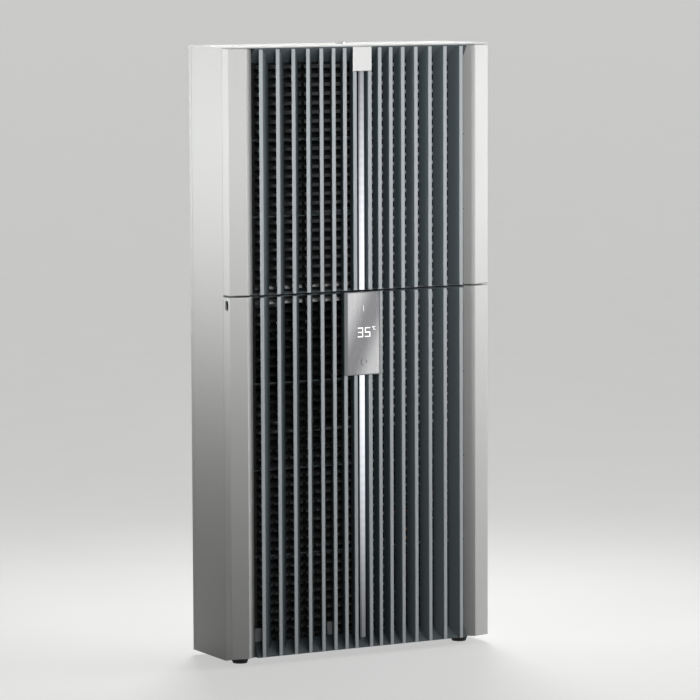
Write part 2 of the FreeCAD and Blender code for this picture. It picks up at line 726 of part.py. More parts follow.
def make_cover_frame(name, z_span, at_foot=False):
    """Moulded frame: two hollow columns with leaning faces and sloping reveals, joined by bars.

    At the foot the side returns reach down to the housing's edge, and the left one has the port.
    """
    low, high = z_span
    nose = f"({CORNER} - column_lean)"
    outside = [(f"-{HALF}", COVER_BACK), (f"-{HALF}", CORNER), (f"-{COLUMN_X}", nose),
               (f"-{REVEAL_X}", REVEAL_BACK), (f"-{REVEAL_X}", COVER_BACK)]
    skin = extruded(f"{name} column", "XY", z_span, [outside])
    inner = -number(REVEAL_X)
    back = number(COVER_BACK)

    def is_outer_edge(edge):
        box = edge.BoundBox
        upright = box.ZLength > NEAR
        return box.XMax < inner - NEAR and (not upright or box.YMin < back - NEAR)
    round_edges(skin, "column_radius", is_outer_edge)
    room = [(f"-{HALF} + cover_wall", f"{COVER_BACK} + cut_margin"),
            (f"-{HALF} + cover_wall", f"{CORNER} + cover_wall"),
            (f"-{COLUMN_X} - overlap", f"{nose} + cover_wall"),
            (f"-{REVEAL_X} - cover_wall", f"{REVEAL_BACK} + cover_wall / 2"),
            (f"-{REVEAL_X} - cover_wall", f"{COVER_BACK} + cut_margin")]
    hollow = extruded(f"{name} column room", "XY", (f"{low} + cover_wall", f"{high} - cover_wall"), [room])
    column = carve(f"{name} left column", skin, [hollow])
    left = column
    if at_foot:
        side = (f"-{HALF}", f"-{HALF} + cover_wall")
        skirt = wedge(f"{name} skirt", (f"{CORNER} + column_radius", COVER_BACK), side, side,
                      (low, f"{low} + cover_wall"), (BASE, f"{low} + cover_wall"))
        column = join(f"{name} skirted column", [column, skirt])
        slot = port_slot(f"-{HALF} - cut_margin", f"-{HALF} + cover_wall + cut_margin", "0")
        left = carve(f"{name} port column", column, [slot])
    bar_x = mid(f"{REVEAL_X} + cover_wall / 2")
    bar_y = (f"{LOUVRE_BACK} + fit_gap", COVER_BACK)
    bar_spans = ((low, f"{low} + cover_bar_height"), (f"{high} - cover_bar_height", high))
    bars = [block(f"{name} bar", bar_x, bar_y, span) for span in bar_spans]
    frame = join(f"{name} frame", [left, mirrored(f"{name} right column", column)] + bars)
    keep(f"{name}_cover_frame", frame)


def port_slot(left, right, inset):
    """Upright slot with round ends, along X, smaller all round by the inset."""
    middle_y = f"{CORNER} + port_inset"
    middle_z = f"{LOWER[1]} - port_drop"
    radius = f"port_width / 2 - ({inset})"
    reach = "(port_height - port_width) / 2"
    straight = block("port middle", (left, right), (f"{middle_y} - ({radius})", f"{middle_y} + {radius}"),
                     (f"{middle_z} - {reach}", f"{middle_z} + {reach}"))
    rounds = [rod("port round", (left, middle_y, f"{middle_z} + {side} * {reach}"), radius,
                  f"({right}) - ({left})", "X") for side in (-1, 1)]
    return join("port slot", [straight] + rounds)


def make_service_port():
    """Moulded cup behind the slot in the left side return."""
    back = f"-{HALF} + cover_wall + port_depth"
    cup = port_slot(f"-{HALF} + cover_wall", f"{back} + port_wall", "-port_wall")
    hollow = port_slot(f"-{HALF} + cover_wall", back, "port_wall / 2")
    keep("service_port", carve("port cup", cup, [hollow]))


def make_lamella_insert(name, z_span, rib_count, closing_at_top):
    """Fanned blades with a sloping closing wall, a seat for the light strip and cross ribs."""
    low, high = z_span
    shapes = []
    for step, x in both_sides(lamella_places()):
        back = f"{x} * (1 - lamella_fan)"
        shapes.append(wedge(f"{name} blade", (LAMELLA_FRONT, LAMELLA_BACK),
                            (f"{x} - lamella_width / 2", f"{x} + lamella_width / 2"),
                            (f"{back} - lamella_back_width / 2", f"{back} + lamella_back_width / 2"),
                            z_span, z_span))
    seat = f"({LOUVRE_FRONT} - fit_gap)"
    rib_y = (f"{LAMELLA_BACK} - overlap", seat)
    if closing_at_top:
        edge_span = (f"{high} - closing_edge", high)
        wall_span = (f"{high} - closing_height", high)
        first_rib = f"({low} + rib_wall / 2)"
        last_rib = f"({high} - closing_height)"
    else:
        edge_span = (low, f"{low} + closing_edge")
        wall_span = (low, f"{low} + closing_height")
        first_rib = f"({high} - rib_wall / 2)"
        last_rib = f"({low} + closing_height)"
    shapes.append(block(f"{name} light seat", mid("light_width / 2"), (LIGHT_BACK, LAMELLA_BACK), z_span))
    whole = mid(INSERT_X)
    shapes.append(wedge(f"{name} closing wall", (LAMELLA_FRONT, seat), whole, whole, edge_span, wall_span))
    for count in range(rib_count + 1):
        middle = f"({first_rib} + ({last_rib} - {first_rib}) * {count} / {rib_count + 1})"
        span = (f"{middle} - rib_wall / 2", f"{middle} + rib_wall / 2")
        shapes.append(block(f"{name} rib", whole, rib_y, span))
    keep(f"{name}_lamella_insert", join(f"{name} insert", shapes))


def make_lamella_trims(name, z_span, short_count, short_end):
    """Light strips on the fronts of the blades, cut short where the plate or the display sits."""
    low, high = z_span
    half_front = "(lamella_width / 2 - trim_chamfer)"
    half_back = "(lamella_width / 2)"
    trims = []
    for step, x in both_sides(lamella_places()):
        end = short_end if step < short_count else f"{high} - closing_edge"
        trims.append(wedge(f"{name} trim", (FRONT, LAMELLA_FRONT),
                           (f"{x} - {half_front}", f"{x} + {half_front}"),
                           (f"{x} - {half_back}", f"{x} + {half_back}"), (low, end), (low, end)))
    keep(f"{name}_lamella_trims", gather(f"{name} trims", trims))


def make_louvre(name, z_span):
    """Black grille of sloping slats in a border, held between the lamella insert and the cover's bars."""
    low, high = z_span
    y_span = (LOUVRE_FRONT, LOUVRE_BACK)
    side = f"({INSERT_X} - louvre_border)"
    shapes = [block(f"{name} left border", (f"-{INSERT_X}", f"-{side}"), y_span, z_span),
              block(f"{name} right border", (side, INSERT_X), y_span, z_span),
              block(f"{name} low border", mid(INSERT_X), y_span, (low, f"{low} + louvre_border")),
              block(f"{name} high border", mid(INSERT_X), y_span, (f"{high} - louvre_border", high))]
    for place in (-1, 0, 1):
        middle = f"{place} * {INSERT_X} / 2"
        shapes.append(block(f"{name} mullion",
                            (f"{middle} - mullion_wall / 2", f"{middle} + mullion_wall / 2"),
                            (f"{LOUVRE_FRONT} + louvre_depth / 2", LOUVRE_BACK), z_span))
    free = f"{high} - ({low}) - 2 * louvre_border - slat_drop - slat_wall"
    slat_count = int(number(free) // number("slat_pitch"))
    slat_x = mid(f"{side} + overlap")
    for count in range(slat_count):
        front_low = f"{low} + louvre_border + ({count} + 0.5) * slat_pitch"
        front = (front_low, f"{front_low} + slat_wall")
        back = (f"{front_low} + slat_drop", f"{front_low} + slat_drop + slat_wall")
        shapes.append(wedge(f"{name} slat", y_span, slat_x, slat_x, front, back))
    keep(f"{name}_louvre", join(f"{name} grille", shapes))


def make_louvre_clips():
    """Light clips low on the front of the lower louvre."""
    low = f"({LOWER[0]} + closing_height + overlap)"
    clips = []
    for sign in (-1, 1):
        for place in (f"({REVEAL_X} - clip_inset)", f"(clip_share * {REVEAL_X})"):
            middle = f"{sign} * {place}"
            clips.append(block("clip", (f"{middle} - clip_width / 2", f"{middle} + clip_width / 2"),
                               (f"{LOUVRE_FRONT} - clip_depth", LOUVRE_FRONT),
                               (low, f"{low} + clip_height")))
    keep("louvre_clips", gather("clips", clips))


def make_light_strips():
    """Light guides in the middle gap, on the seats of the lamella inserts."""
    half = mid("light_width / 2")
    narrow = mid("light_width / 2 - light_taper")
    y_span = (LIGHT_FRONT, LIGHT_BACK)
    upper = (UPPER[0], f"{PLATE_FOOT} - fit_gap")
    lower = (f"{LOWER[0]} + light_foot", f"{DISPLAY_FOOT} - fit_gap")
    keep("upper_light_strip", wedge("upper light", y_span, narrow, half, upper, upper))
    keep("lower_light_strip", wedge("lower light", y_span, narrow, half, lower, lower))


def make_plate():
    """Bare plate across the two middle blades at the top."""
    half = f"({lamella_places()[PLATE_LAMELLA_COUNT - 1]} + lamella_width / 2)"
    face_z = (f"{PLATE_FOOT} + plate_proud", f"{UPPER[1]} - plate_proud")
    plate = wedge("plate", (f"{FRONT} - plate_proud", LAMELLA_FRONT), mid(f"{half} - plate_proud"),
                  mid(half), face_z, (PLATE_FOOT, UPPER[1]))
    keep("top_plate", plate)


def make_display():
    """Bevelled display bezel across the four middle blades, with a window let into its face."""
    half = f"({lamella_places()[DISPLAY_LAMELLA_COUNT - 1]} + lamella_width / 2)"
    face = f"({FRONT} - display_proud)"
    face_half = f"({half} - display_chamfer)"
    outline = [(f"-{half}", LAMELLA_FRONT), (f"-{half}", f"{LAMELLA_FRONT} - display_side"),
               (f"-{face_half}", face), (face_half, face), (half, f"{LAMELLA_FRONT} - display_side"),
               (half, LAMELLA_FRONT)]
    blank = extruded("bezel blank", "XY", (DISPLAY_FOOT, LOWER[1]), [outline])
    recess_half = f"{face_half} - window_border"
    recess_z = (f"{DISPLAY_FOOT} + window_border", f"{LOWER[1]} - window_border")
    floor = f"{face} + window_recess + window_wall"
    recess = block("window recess", mid(recess_half), (face, floor), recess_z)
    keep("display_bezel", carve("bezel", blank, [recess]))
    window = block("window", mid(f"{recess_half} - fit_gap / 2"), (f"{face} + window_recess", floor),
                   (f"{recess_z[0]} + fit_gap / 2", f"{recess_z[1]} - fit_gap / 2"))
    keep("display_window", window)


# Inner air circuit


def make_inner_fan():
    """Motor that stands on the front bulkhead, impeller and inlet ring."""
    bore = "(shaft_radius + shaft_clearance)"
    motor = turned("inner motor", ("0", CHAMBER_FRONT, INNER_FAN_Z),
                   [(bore, "0"), ("inner_motor_radius", "0"),
                    ("inner_motor_radius", "inner_motor_depth - motor_chamfer"),
                    ("inner_motor_radius - motor_chamfer", "inner_motor_depth"),
                    (bore, "inner_motor_depth")], "Y")
    keep("evaporator_fan_motor", motor)
    make_impeller()
    ring_low = f"({IMPELLER_BACK} + impeller_width + impeller_gap)"
    length = f"({REAR_INSIDE} - {ring_low})"
    throat = f"({IMPELLER} - inlet_throat_step)"
    flange = f"({IMPELLER} - inlet_flange_step)"
    ring = turned("inlet ring", ("0", ring_low, INNER_FAN_Z),
                  [(throat, "0"), (f"{throat} + sheet_wall", "0"),
                   (f"{throat} + sheet_wall", "inlet_straight"),
                   (f"{INLET_MOUTH} + sheet_wall", f"{length} - sheet_wall"),
                   (flange, f"{length} - sheet_wall"), (flange, length),
                   (INLET_MOUTH, length), (throat, "inlet_straight")], "Y")
    keep("evaporator_inlet_ring", ring)


def swept_blade():
    """Outline of a backward-swept blade: its angle grows with its radius."""
    inner = f"({IMPELLER_EYE} - impeller_blade_reach)"
    outer = f"({IMPELLER} - impeller_blade_inset)"
    leading, trailing = [], []
    for station in range(BLADE_STATION_COUNT):
        share = station / (BLADE_STATION_COUNT - 1)
        radius = f"({inner} + ({outer} - {inner}) * {share})"
        angle = f"(impeller_blade_sweep * {share} * 1 deg)"
        behind = f"({angle} + impeller_blade_wall / {radius} * 1 rad)"
        leading.append((f"{radius} * cos({angle})", f"{radius} * sin({angle})"))
        trailing.append((f"{radius} * cos({behind})", f"{radius} * sin({behind})"))
    return leading + trailing[::-1]


def make_impeller():
    """Radial impeller: disc with a boss and shaft, swept blades and a ring round the eye."""
    rotor = doc.addObject("PartDesign::Body", "impeller")
    hub = new_sketch(rotor, "impeller hub sketch", "XZ", "0")
    shaft_end = "-shaft_length - fit_gap"
    draw_outline(hub, [("0", shaft_end), ("shaft_radius", shaft_end), ("shaft_radius", "0"),
                       (IMPELLER, "0"), (IMPELLER, "impeller_disc"),
                       ("impeller_boss_radius", "impeller_disc"),
                       ("impeller_boss_top", "impeller_boss_height"), ("0", "impeller_boss_height")])
    spin = rotor.newObject("PartDesign::Revolution", "impeller hub")
    spin.Profile = hub
    spin.ReferenceAxis = (hub, ["V_Axis"])
    spin.Angle = 360
    blade_sketch = new_sketch(rotor, "impeller blade sketch", "XY", "impeller_disc / 2")
    draw_outline(blade_sketch, swept_blade())
    blade = pad(rotor, blade_sketch, "impeller_width - impeller_disc")
    around = rotor.newObject("PartDesign::PolarPattern", "impeller blades")
    around.Originals = [blade]
    around.Axis = (origin_part(rotor, "Z_Axis"), [""])
    around.Angle = 360
    around.setExpression("Occurrences", bound("impeller_blades"))
    rotor.Tip = around
    ring_sketch = new_sketch(rotor, "impeller ring sketch", "XY", "impeller_width - impeller_disc")
    draw_circle(ring_sketch, "0", "0", IMPELLER)
    draw_circle(ring_sketch, "0", "0", IMPELLER_EYE)
    pad(rotor, ring_sketch, "impeller_disc")
    put(rotor, ("0", IMPELLER_BACK, INNER_FAN_Z), "Y")
    keep("evaporator_fan_rotor", rotor)


def fin_block(name, x_span, y_span, z_span):
    """Coil block whose front is grooved into upright fins between two end plates."""
    blank = block(f"{name} blank", x_span, y_span, z_span)
    left, right = x_span
    free = number(right) - number(left) - 2 * number("coil_groove_pitch")
    grooves = int(free // number("coil_groove_pitch"))
    tools = []
    for count in range(grooves):
        x = f"{left} + ({count} + 1.5) * coil_groove_pitch"
        tools.append(block(f"{name} groove", (x, f"{x} + coil_groove"),
                           (y_span[0], f"{y_span[0]} + coil_groove_depth"), z_span))
    return carve(name, blank, [gather(f"{name} grooves", tools)])


def tube_bends(name, x, y, z_span, outward):
    """Return bends on the end of a coil, one above the other."""
    low, high = z_span
    free = number(high) - number(low) - 2 * (number("bend_radius") + number("tube_radius"))
    rows = int(free // number("bend_pitch")) + 1
    upright = FreeCAD.Rotation(FreeCAD.Vector(1, 1, 1), -120)
    if outward < 0:
        upright = FreeCAD.Rotation(FreeCAD.Vector(0, 0, 1), 180).multiply(upright)
    bends = []
    for count in range(rows):
        bend = doc.addObject("Part::Torus", name)
        bend.setExpression("Radius1", bound("bend_radius"))
        bend.setExpression("Radius2", bound("tube_radius"))
        bend.Angle3 = 180
        bend.Placement = FreeCAD.Placement(FreeCAD.Vector(), upright)
        z = f"{low} + bend_radius + tube_radius + {count} * bend_pitch"
        for axis, formula in zip("xyz", (x, y, z)):
            bend.setExpression(f"Placement.Base.{axis}", bound(formula))
        bends.append(bend)
    return bends


def make_evaporator():
    """Evaporator coil standing in the condensate pan, with the baffle over it and the drain below."""
    x_span = (EVAPORATOR_LEFT, EVAPORATOR_RIGHT)
    y_span = (COIL_FRONT, COIL_BACK)
    keep("evaporator_fin_block", fin_block("evaporator coil", x_span, y_span, (PAN_FLOOR, COIL_TOP)))
    middle = f"({COIL_FRONT} + {COIL_BACK}) / 2"
    bend_z = (f"{PAN_FLOOR} + pan_height", COIL_TOP)
    bends = tube_bends("evaporator bend", EVAPORATOR_LEFT, middle, bend_z, -1)
    keep("evaporator_bends", gather("evaporator bend set", bends))
    pan_z = (CHAMBER_FLOOR, f"{CHAMBER_FLOOR} + pan_height")
    blank = block("pan blank", (f"{EVAPORATOR_LEFT} - pan_margin", f"{EVAPORATOR_RIGHT} + pan_margin"),
                  (f"{COIL_FRONT} - pan_margin", f"{COIL_BACK} + pan_margin"), pan_z)
    rim = "(pan_margin - sheet_wall)"
    hollow = block("pan hollow", (f"{EVAPORATOR_LEFT} - {rim}", f"{EVAPORATOR_RIGHT} + {rim}"),
                   (f"{COIL_FRONT} - {rim}", f"{COIL_BACK} + {rim}"), (PAN_FLOOR, pan_z[1]))
    outlet = rod("pan outlet", (DRAIN_X, DRAIN_Y, CHAMBER_FLOOR), "drain_bore", "sheet_wall")
    keep("condensate_pan", carve("pan", blank, [hollow, outlet]))
    foot = (DRAIN_X, DRAIN_Y, "drain_end")
    length = f"{CHAMBER_FLOOR} - drain_end - fit_gap"
    tube = rod("drain outside", foot, "drain_radius", length)
    bore = rod("drain inside", foot, "drain_bore", length)
    keep("drain_tube", carve("drain", tube, [bore]))
    baffle = block("baffle", mid(f"{HALF} - flange_width - fit_gap"),
                   (COIL_FRONT, f"{REAR_INSIDE} - fit_gap"), (COIL_TOP, BAFFLE_TOP))
    keep("evaporator_baffle", baffle)


# Outer air circuit


def make_condenser():
    """Condenser coil on the base tray, behind the lower grille."""
    y_span = (CONDENSER_FRONT, CONDENSER_BACK)
    coil = fin_block("condenser coil", (CONDENSER_LEFT, CONDENSER_RIGHT), y_span, (FLOOR, CONDENSER_TOP))
    keep("condenser_fin_block", coil)
    middle = f"({CONDENSER_FRONT} + {CONDENSER_BACK}) / 2"
    bend_z = (f"{FLOOR} + tray_height", f"{CONDENSER_TOP} - tray_height")
    bends = tube_bends("condenser bend", CONDENSER_RIGHT, middle, bend_z, 1)
    keep("condenser_bends", gather("condenser bend set", bends))


def make_outer_fan():
    """Bulkhead with the fan opening, square fan frame, motor on a spider, and axial rotor."""
    duct = (OUTER_FAN_X, OUTER_FAN_Z, FAN_DUCT)
    plate = rectangle(mid(INSIDE_X), (f"{OUTER_FAN_LOW} - bulkhead_margin", f"{PARTITION} - fit_gap"))
    keep("fan_bulkhead", extruded("bulkhead", "XZ", (INSIDE_FRONT, BULKHEAD_BACK), [plate], [duct]))

    def about_axis(half):
        return ((f"{OUTER_FAN_X} - {half}", f"{OUTER_FAN_X} + {half}"),
                (f"{OUTER_FAN_Z} - {half}", f"{OUTER_FAN_Z} + {half}"))
    face = rectangle(*about_axis("fan_frame_width / 2"))
    keep("condenser_fan_frame", extruded("fan frame", "XZ", (FAN_FRONT, FAN_BACK), [face], [duct]))
    centre = (OUTER_FAN_X, MOTOR_FRONT, OUTER_FAN_Z)
    can = rod("outer motor can", centre, "outer_motor_radius", "outer_motor_depth", "Y")
    strut_y = (f"{FAN_BACK} - strut_depth", FAN_BACK)
    long_x, long_z = about_axis(f"({FAN_DUCT} - fit_gap)")
    short_x, short_z = about_axis("strut_width / 2")
    struts = [block("level strut", long_x, strut_y, short_z),
              block("upright strut", short_x, strut_y, long_z)]
    bore = rod("outer motor bore", centre, "shaft_radius + shaft_clearance", "outer_motor_depth", "Y")
    keep("condenser_fan_motor", carve("outer motor", join("motor spider", [can] + struts), [bore]))
    make_axial_rotor()


def make_axial_rotor():
    """Cupped hub with lofted blades that twist from root to tip."""
    rotor = doc.addObject("PartDesign::Body", "axial rotor")
    hub = new_sketch(rotor, "axial hub sketch", "XZ", "0")
    shaft_end = "fan_hub_depth + fit_gap + shaft_length"
    draw_outline(hub, [("0", "fan_hub_dish"), ("fan_hub_radius - fan_hub_chamfer", "0"),
                       ("fan_hub_radius", "fan_hub_chamfer"), ("fan_hub_radius", "fan_hub_depth"),
                       ("shaft_radius", "fan_hub_depth"), ("shaft_radius", shaft_end), ("0", shaft_end)])
    spin = rotor.newObject("PartDesign::Revolution", "axial hub")
    spin.Profile = hub
    spin.ReferenceAxis = (hub, ["V_Axis"])
    spin.Angle = 360
    root = new_sketch(rotor, "blade root", "YZ", "fan_hub_radius - fan_hub_chamfer")
    draw_outline(root, blade_section("fan_blade_root", "fan_root_rise"))
    tip = new_sketch(rotor, "blade tip", "YZ", f"{FAN_DUCT} - fan_tip_gap")
    draw_outline(tip, blade_section("fan_blade_tip", "fan_tip_rise"))
    blade = rotor.newObject("PartDesign::AdditiveLoft", "axial blade")
    blade.Profile = root
    blade.Sections = [tip]
    blade.Ruled = True
    around = rotor.newObject("PartDesign::PolarPattern", "axial blades")
    around.Originals = [blade]
    around.Axis = (origin_part(rotor, "Z_Axis"), [""])
    around.Angle = 360
    around.setExpression("Occurrences", bound("fan_blades"))
    rotor.Tip = around
    put(rotor, (OUTER_FAN_X, HUB_FRONT, OUTER_FAN_Z), "Y")
    keep("condenser_fan_rotor", rotor)


def blade_section(chord, rise):
    """A slanting blade section about the middle of the hub's depth."""
    half = f"{chord} / 2"
    lift = f"{chord} / 2 * {rise}"
    middle = "fan_hub_depth / 2 + fan_blade_shift"
    wall = "fan_blade_wall / 2"
    return [(f"-{half}", f"{middle} - {lift} - {wall}"), (half, f"{middle} + {lift} - {wall}"),
            (half, f"{middle} + {lift} + {wall}"), (f"-{half}", f"{middle} - {lift} + {wall}")]


def make_compressor():
    """Rotary compressor: domed can on a three-armed plate, standing on rubber grommets."""
    can = turned("compressor can", (COMPRESSOR_X, COMPRESSOR_Y, COMPRESSOR_BASE),
                 rectangle(("0", COMPRESSOR_RADIUS), ("0", "compressor_height")))
    round_edges(can, "compressor_dome", is_circle_at(COMPRESSOR_TOP))
    round_edges(can, "compressor_foot_round", is_circle_at(COMPRESSOR_BASE))
    plate = rod("compressor plate", (COMPRESSOR_X, COMPRESSOR_Y, COMPRESSOR_FOOT), COMPRESSOR_RADIUS,
                "compressor_plate")
    arms = []
    grommets = []
    for arm in range(3):
        x = f"({COMPRESSOR_X} + {GROMMET_CIRCLE} * cos({120 * arm} deg))"
        y = f"({COMPRESSOR_Y} + {GROMMET_CIRCLE} * sin({120 * arm} deg))"
        arms.append(rod("compressor arm", (x, y, COMPRESSOR_FOOT), "grommet_radius", "compressor_plate"))
        grommets.append(rod("grommet", (x, y, FLOOR), "grommet_radius", "grommet_height"))
    keep("compressor", join("compressor set", [can, plate] + arms))
    keep("compressor_grommets", gather("grommets", grommets))


def pipe(name, radius, points):
    """Round tube along straight runs joined by tangent bends."""
    places = [FreeCAD.Vector(*(number(part) for part in point)) for point in points]
    bend = number("pipe_bend")
    edges = []
    start = places[0]
    for before, corner, after in zip(places, places[1:], places[2:]):
        come = (before - corner).normalize()
        leave = (after - corner).normalize()
        setback = bend / math.tan(come.getAngle(leave) / 2)
        first = corner + come * setback
        last = corner + leave * setback
        towards = (come + leave).normalize()
        middle = corner + towards * (bend / math.sin(come.getAngle(leave) / 2) - bend)
        edges.append(Part.LineSegment(start, first).toShape())
        edges.append(Part.Arc(first, middle, last).toShape())
        start = last
    edges.append(Part.LineSegment(start, places[-1]).toShape())
    path = Part.Wire(edges)
    section = Part.Wire(Part.Circle(places[0], places[1] - places[0], number(radius)).toShape())
    solid = path.makePipeShell([section], True, False)
    piece = doc.addObject("Part::Feature", name)
    piece.Shape = solid
    piece.Placement = FreeCAD.Placement()
    return piece


def make_refrigerant_circuit():
    """Accumulator, drier, valve and the pipes between compressor and coils."""
    accumulator_top = "(accumulator_low + accumulator_height)"
    vessel = turned("accumulator", (ACCUMULATOR_X, ACCUMULATOR_Y, "accumulator_low"),
                    rectangle(("0", "accumulator_radius"), ("0", "accumulator_height")))
    for level in ("accumulator_low", accumulator_top):
        round_edges(vessel, "accumulator_round", is_circle_at(level))
    keep("suction_accumulator", vessel)
    keep("filter_drier",
         turned("drier", (DRIER_X, LIQUID_Y, "drier_low"),
                [("0", "0"), ("drier_neck", "0"), ("drier_radius", "drier_radius"),
                 ("drier_radius", "drier_height - drier_radius"), ("drier_neck", "drier_height"),
                 ("0", "drier_height")]))
    valve_low = "(drier_low + drier_height)"
    valve_top = f"({valve_low} + valve_height)"
    half = "valve_width / 2"
    keep("expansion_valve", block("valve", (f"{DRIER_X} - {half}", f"{DRIER_X} + {half}"),
                                  (f"{LIQUID_Y} - {half}", f"{LIQUID_Y} + {half}"), (valve_low, valve_top)))
    make_hot_pipes()
    make_cold_pipes(accumulator_top, valve_top)


def make_hot_pipes():
    """Pipe from the compressor's top to the condenser, and from the condenser's foot to the drier."""
    middle = f"({CONDENSER_FRONT} + {CONDENSER_BACK}) / 2"
    over = f"{COMPRESSOR_TOP} + discharge_rise"
    hot_end = f"{CONDENSER_TOP} - tray_height / 2"
    lane = f"{INVERTER_LEFT} - gas_pipe_radius - pipe_lane"
    keep("discharge_pipe", pipe("discharge run", "tube_radius", [
        (COMPRESSOR_X, COMPRESSOR_Y, COMPRESSOR_TOP), (COMPRESSOR_X, COMPRESSOR_Y, over),
        (lane, COMPRESSOR_Y, over), (lane, COMPRESSOR_Y, hot_end), (lane, middle, hot_end),
        (CONDENSER_RIGHT, middle, hot_end)]))
    sump = f"{FLOOR} + sump_lift"
    keep("drier_pipe", pipe("drier run", "liquid_pipe_radius", [
        (CONDENSER_RIGHT, LIQUID_Y, sump), (DRIER_X, LIQUID_Y, sump), (DRIER_X, LIQUID_Y, "drier_low")]))


def make_cold_pipes(accumulator_top, valve_top):
    """Pipes between the evaporator, the expansion valve, the accumulator and the compressor's side."""
    coil_middle = f"({COIL_FRONT} + {COIL_BACK}) / 2"
    gas = f"{PAN_FLOOR} + {EVAPORATOR_HEIGHT} * gas_share"
    turn = f"{accumulator_top} + suction_rise"
    keep("suction_pipe", pipe("suction run", "gas_pipe_radius", [
        (EVAPORATOR_RIGHT, coil_middle, gas), (SUCTION_X, coil_middle, gas), (SUCTION_X, SUCTION_Y, gas),
        (SUCTION_X, SUCTION_Y, turn), (ACCUMULATOR_X, SUCTION_Y, turn),
        (ACCUMULATOR_X, ACCUMULATOR_Y, turn), (ACCUMULATOR_X, ACCUMULATOR_Y, accumulator_top)]))
    cold = f"{PAN_FLOOR} + {EVAPORATOR_HEIGHT} * cold_share"
    keep("liquid_pipe", pipe("liquid run", "liquid_pipe_radius", [
        (DRIER_X, LIQUID_Y, valve_top), (DRIER_X, LIQUID_Y, cold), (SUCTION_X, LIQUID_Y, cold),
        (SUCTION_X, coil_middle, cold), (EVAPORATOR_RIGHT, coil_middle, cold)]))
    elbow = "accumulator_low - pipe_bend - gas_pipe_radius"
    run_x = f"({COMPRESSOR_X} - {ACCUMULATOR_X})"
    run_y = f"({COMPRESSOR_Y} - {ACCUMULATOR_Y})"
    share = f"(1 - ({COMPRESSOR_RADIUS} + fit_gap) / sqrt({run_x} ^ 2 + {run_y} ^ 2))"
    keep("accumulator_elbow", pipe("elbow run", "gas_pipe_radius", [
        (ACCUMULATOR_X, ACCUMULATOR_Y, "accumulator_low"), (ACCUMULATOR_X, ACCUMULATOR_Y, elbow),
        (f"{ACCUMULATOR_X} + {run_x} * {share}", f"{ACCUMULATOR_Y} + {run_y} * {share}", elbow)]))


def make_inverter():
    """Inverter box with upright cooling fins towards the grille."""
    root = f"({FAN_FRONT} + inverter_fin)"
    z_span = (f"{COMPRESSOR_TOP} + inverter_lift", f"{PARTITION} - inverter_drop")
    shapes = [block("inverter case", (INVERTER_LEFT, INVERTER_RIGHT), (root, INVERTER_BACK), z_span)]
    free = number("inverter_width") - number("inverter_fin_wall")
    for count in range(int(free // number("inverter_fin_pitch")) + 1):
        x = f"{INVERTER_LEFT} + {count} * inverter_fin_pitch"
        shapes.append(block("inverter fin", (x, f"{x} + inverter_fin_wall"),
                            (FAN_FRONT, f"{root} + overlap"), z_span))
    keep("inverter_box", join("inverter", shapes))


def make_power_inlet():
    """Power inlet through the rear panel."""
    def about_inlet(half_x, half_z):
        return ((f"{INLET_X} - ({half_x})", f"{INLET_X} + {half_x}"),
                (f"{INLET_Z} - ({half_z})", f"{INLET_Z} + {half_z}"))
    half_x, half_z = "inlet_body_width / 2", "inlet_body_height / 2"
    rear = f"({REAR} + inlet_lip_wall)"
    body_x, body_z = about_inlet(half_x, half_z)
    body = block("inlet body", body_x, (f"{REAR} - inlet_body_depth", REAR), body_z)
    lip_x, lip_z = about_inlet(f"{half_x} + inlet_lip", f"{half_z} + inlet_lip")
    lip = block("inlet lip", lip_x, (REAR, rear), lip_z)
    room_x, room_z = about_inlet(f"{half_x} - inlet_socket_wall", f"{half_z} - inlet_socket_wall")
    hollow = block("inlet hollow", room_x, (f"{REAR} - inlet_socket_depth", rear), room_z)
    keep("power_inlet", carve("inlet", join("inlet blank", [body, lip]), [hollow]))


def make_front_covers():
    """The two covers that pull off, with everything they carry."""
    make_cover_frame("upper", UPPER)
    make_cover_frame("lower", LOWER, at_foot=True)
    make_service_port()
    make_lamella_insert("upper", UPPER, UPPER_RIB_COUNT, True)
    make_lamella_insert("lower", LOWER, LOWER_RIB_COUNT, False)
    make_lamella_trims("upper", UPPER, PLATE_LAMELLA_COUNT, f"{PLATE_FOOT} - fit_gap")
    make_lamella_trims("lower", LOWER, DISPLAY_LAMELLA_COUNT, f"{DISPLAY_FOOT} - fit_gap")
    make_louvre("upper", UPPER)
    make_louvre("lower", LOWER)
    make_louvre_clips()
    make_light_strips()
    make_plate()
    make_display()


def write_pieces():
    """Check every object and write one file for each piece."""
    doc.recompute()
    for item in doc.Objects:
        if "Invalid" in item.State or "Error" in item.State:
            raise RuntimeError(f"{item.Label} failed: {item.State}")
    for piece in pieces:
        if piece.Shape.isNull() or not piece.Shape.isValid():
            raise RuntimeError(f"{piece.Label} has no valid shape")
    os.makedirs("parts", exist_ok=True)
    for piece in pieces:
        piece.Shape.exportStep(f"parts/{piece.Label}.step")


make_rear_panel()
make_mount_inserts()
make_rear_seal()
make_side_panels()
make_top_panel()
make_lifting_bush()
make_base()
make_partition()
make_front_covers()
make_inner_fan()
make_evaporator()
make_condenser()
make_outer_fan()
make_compressor()
make_refrigerant_circuit()
make_inverter()
make_power_inlet()
write_pieces()
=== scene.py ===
import json
import math

import bmesh
import bpy
from bpy.props import FloatProperty, FloatVectorProperty, IntProperty, PointerProperty
from mathutils import Matrix, Vector


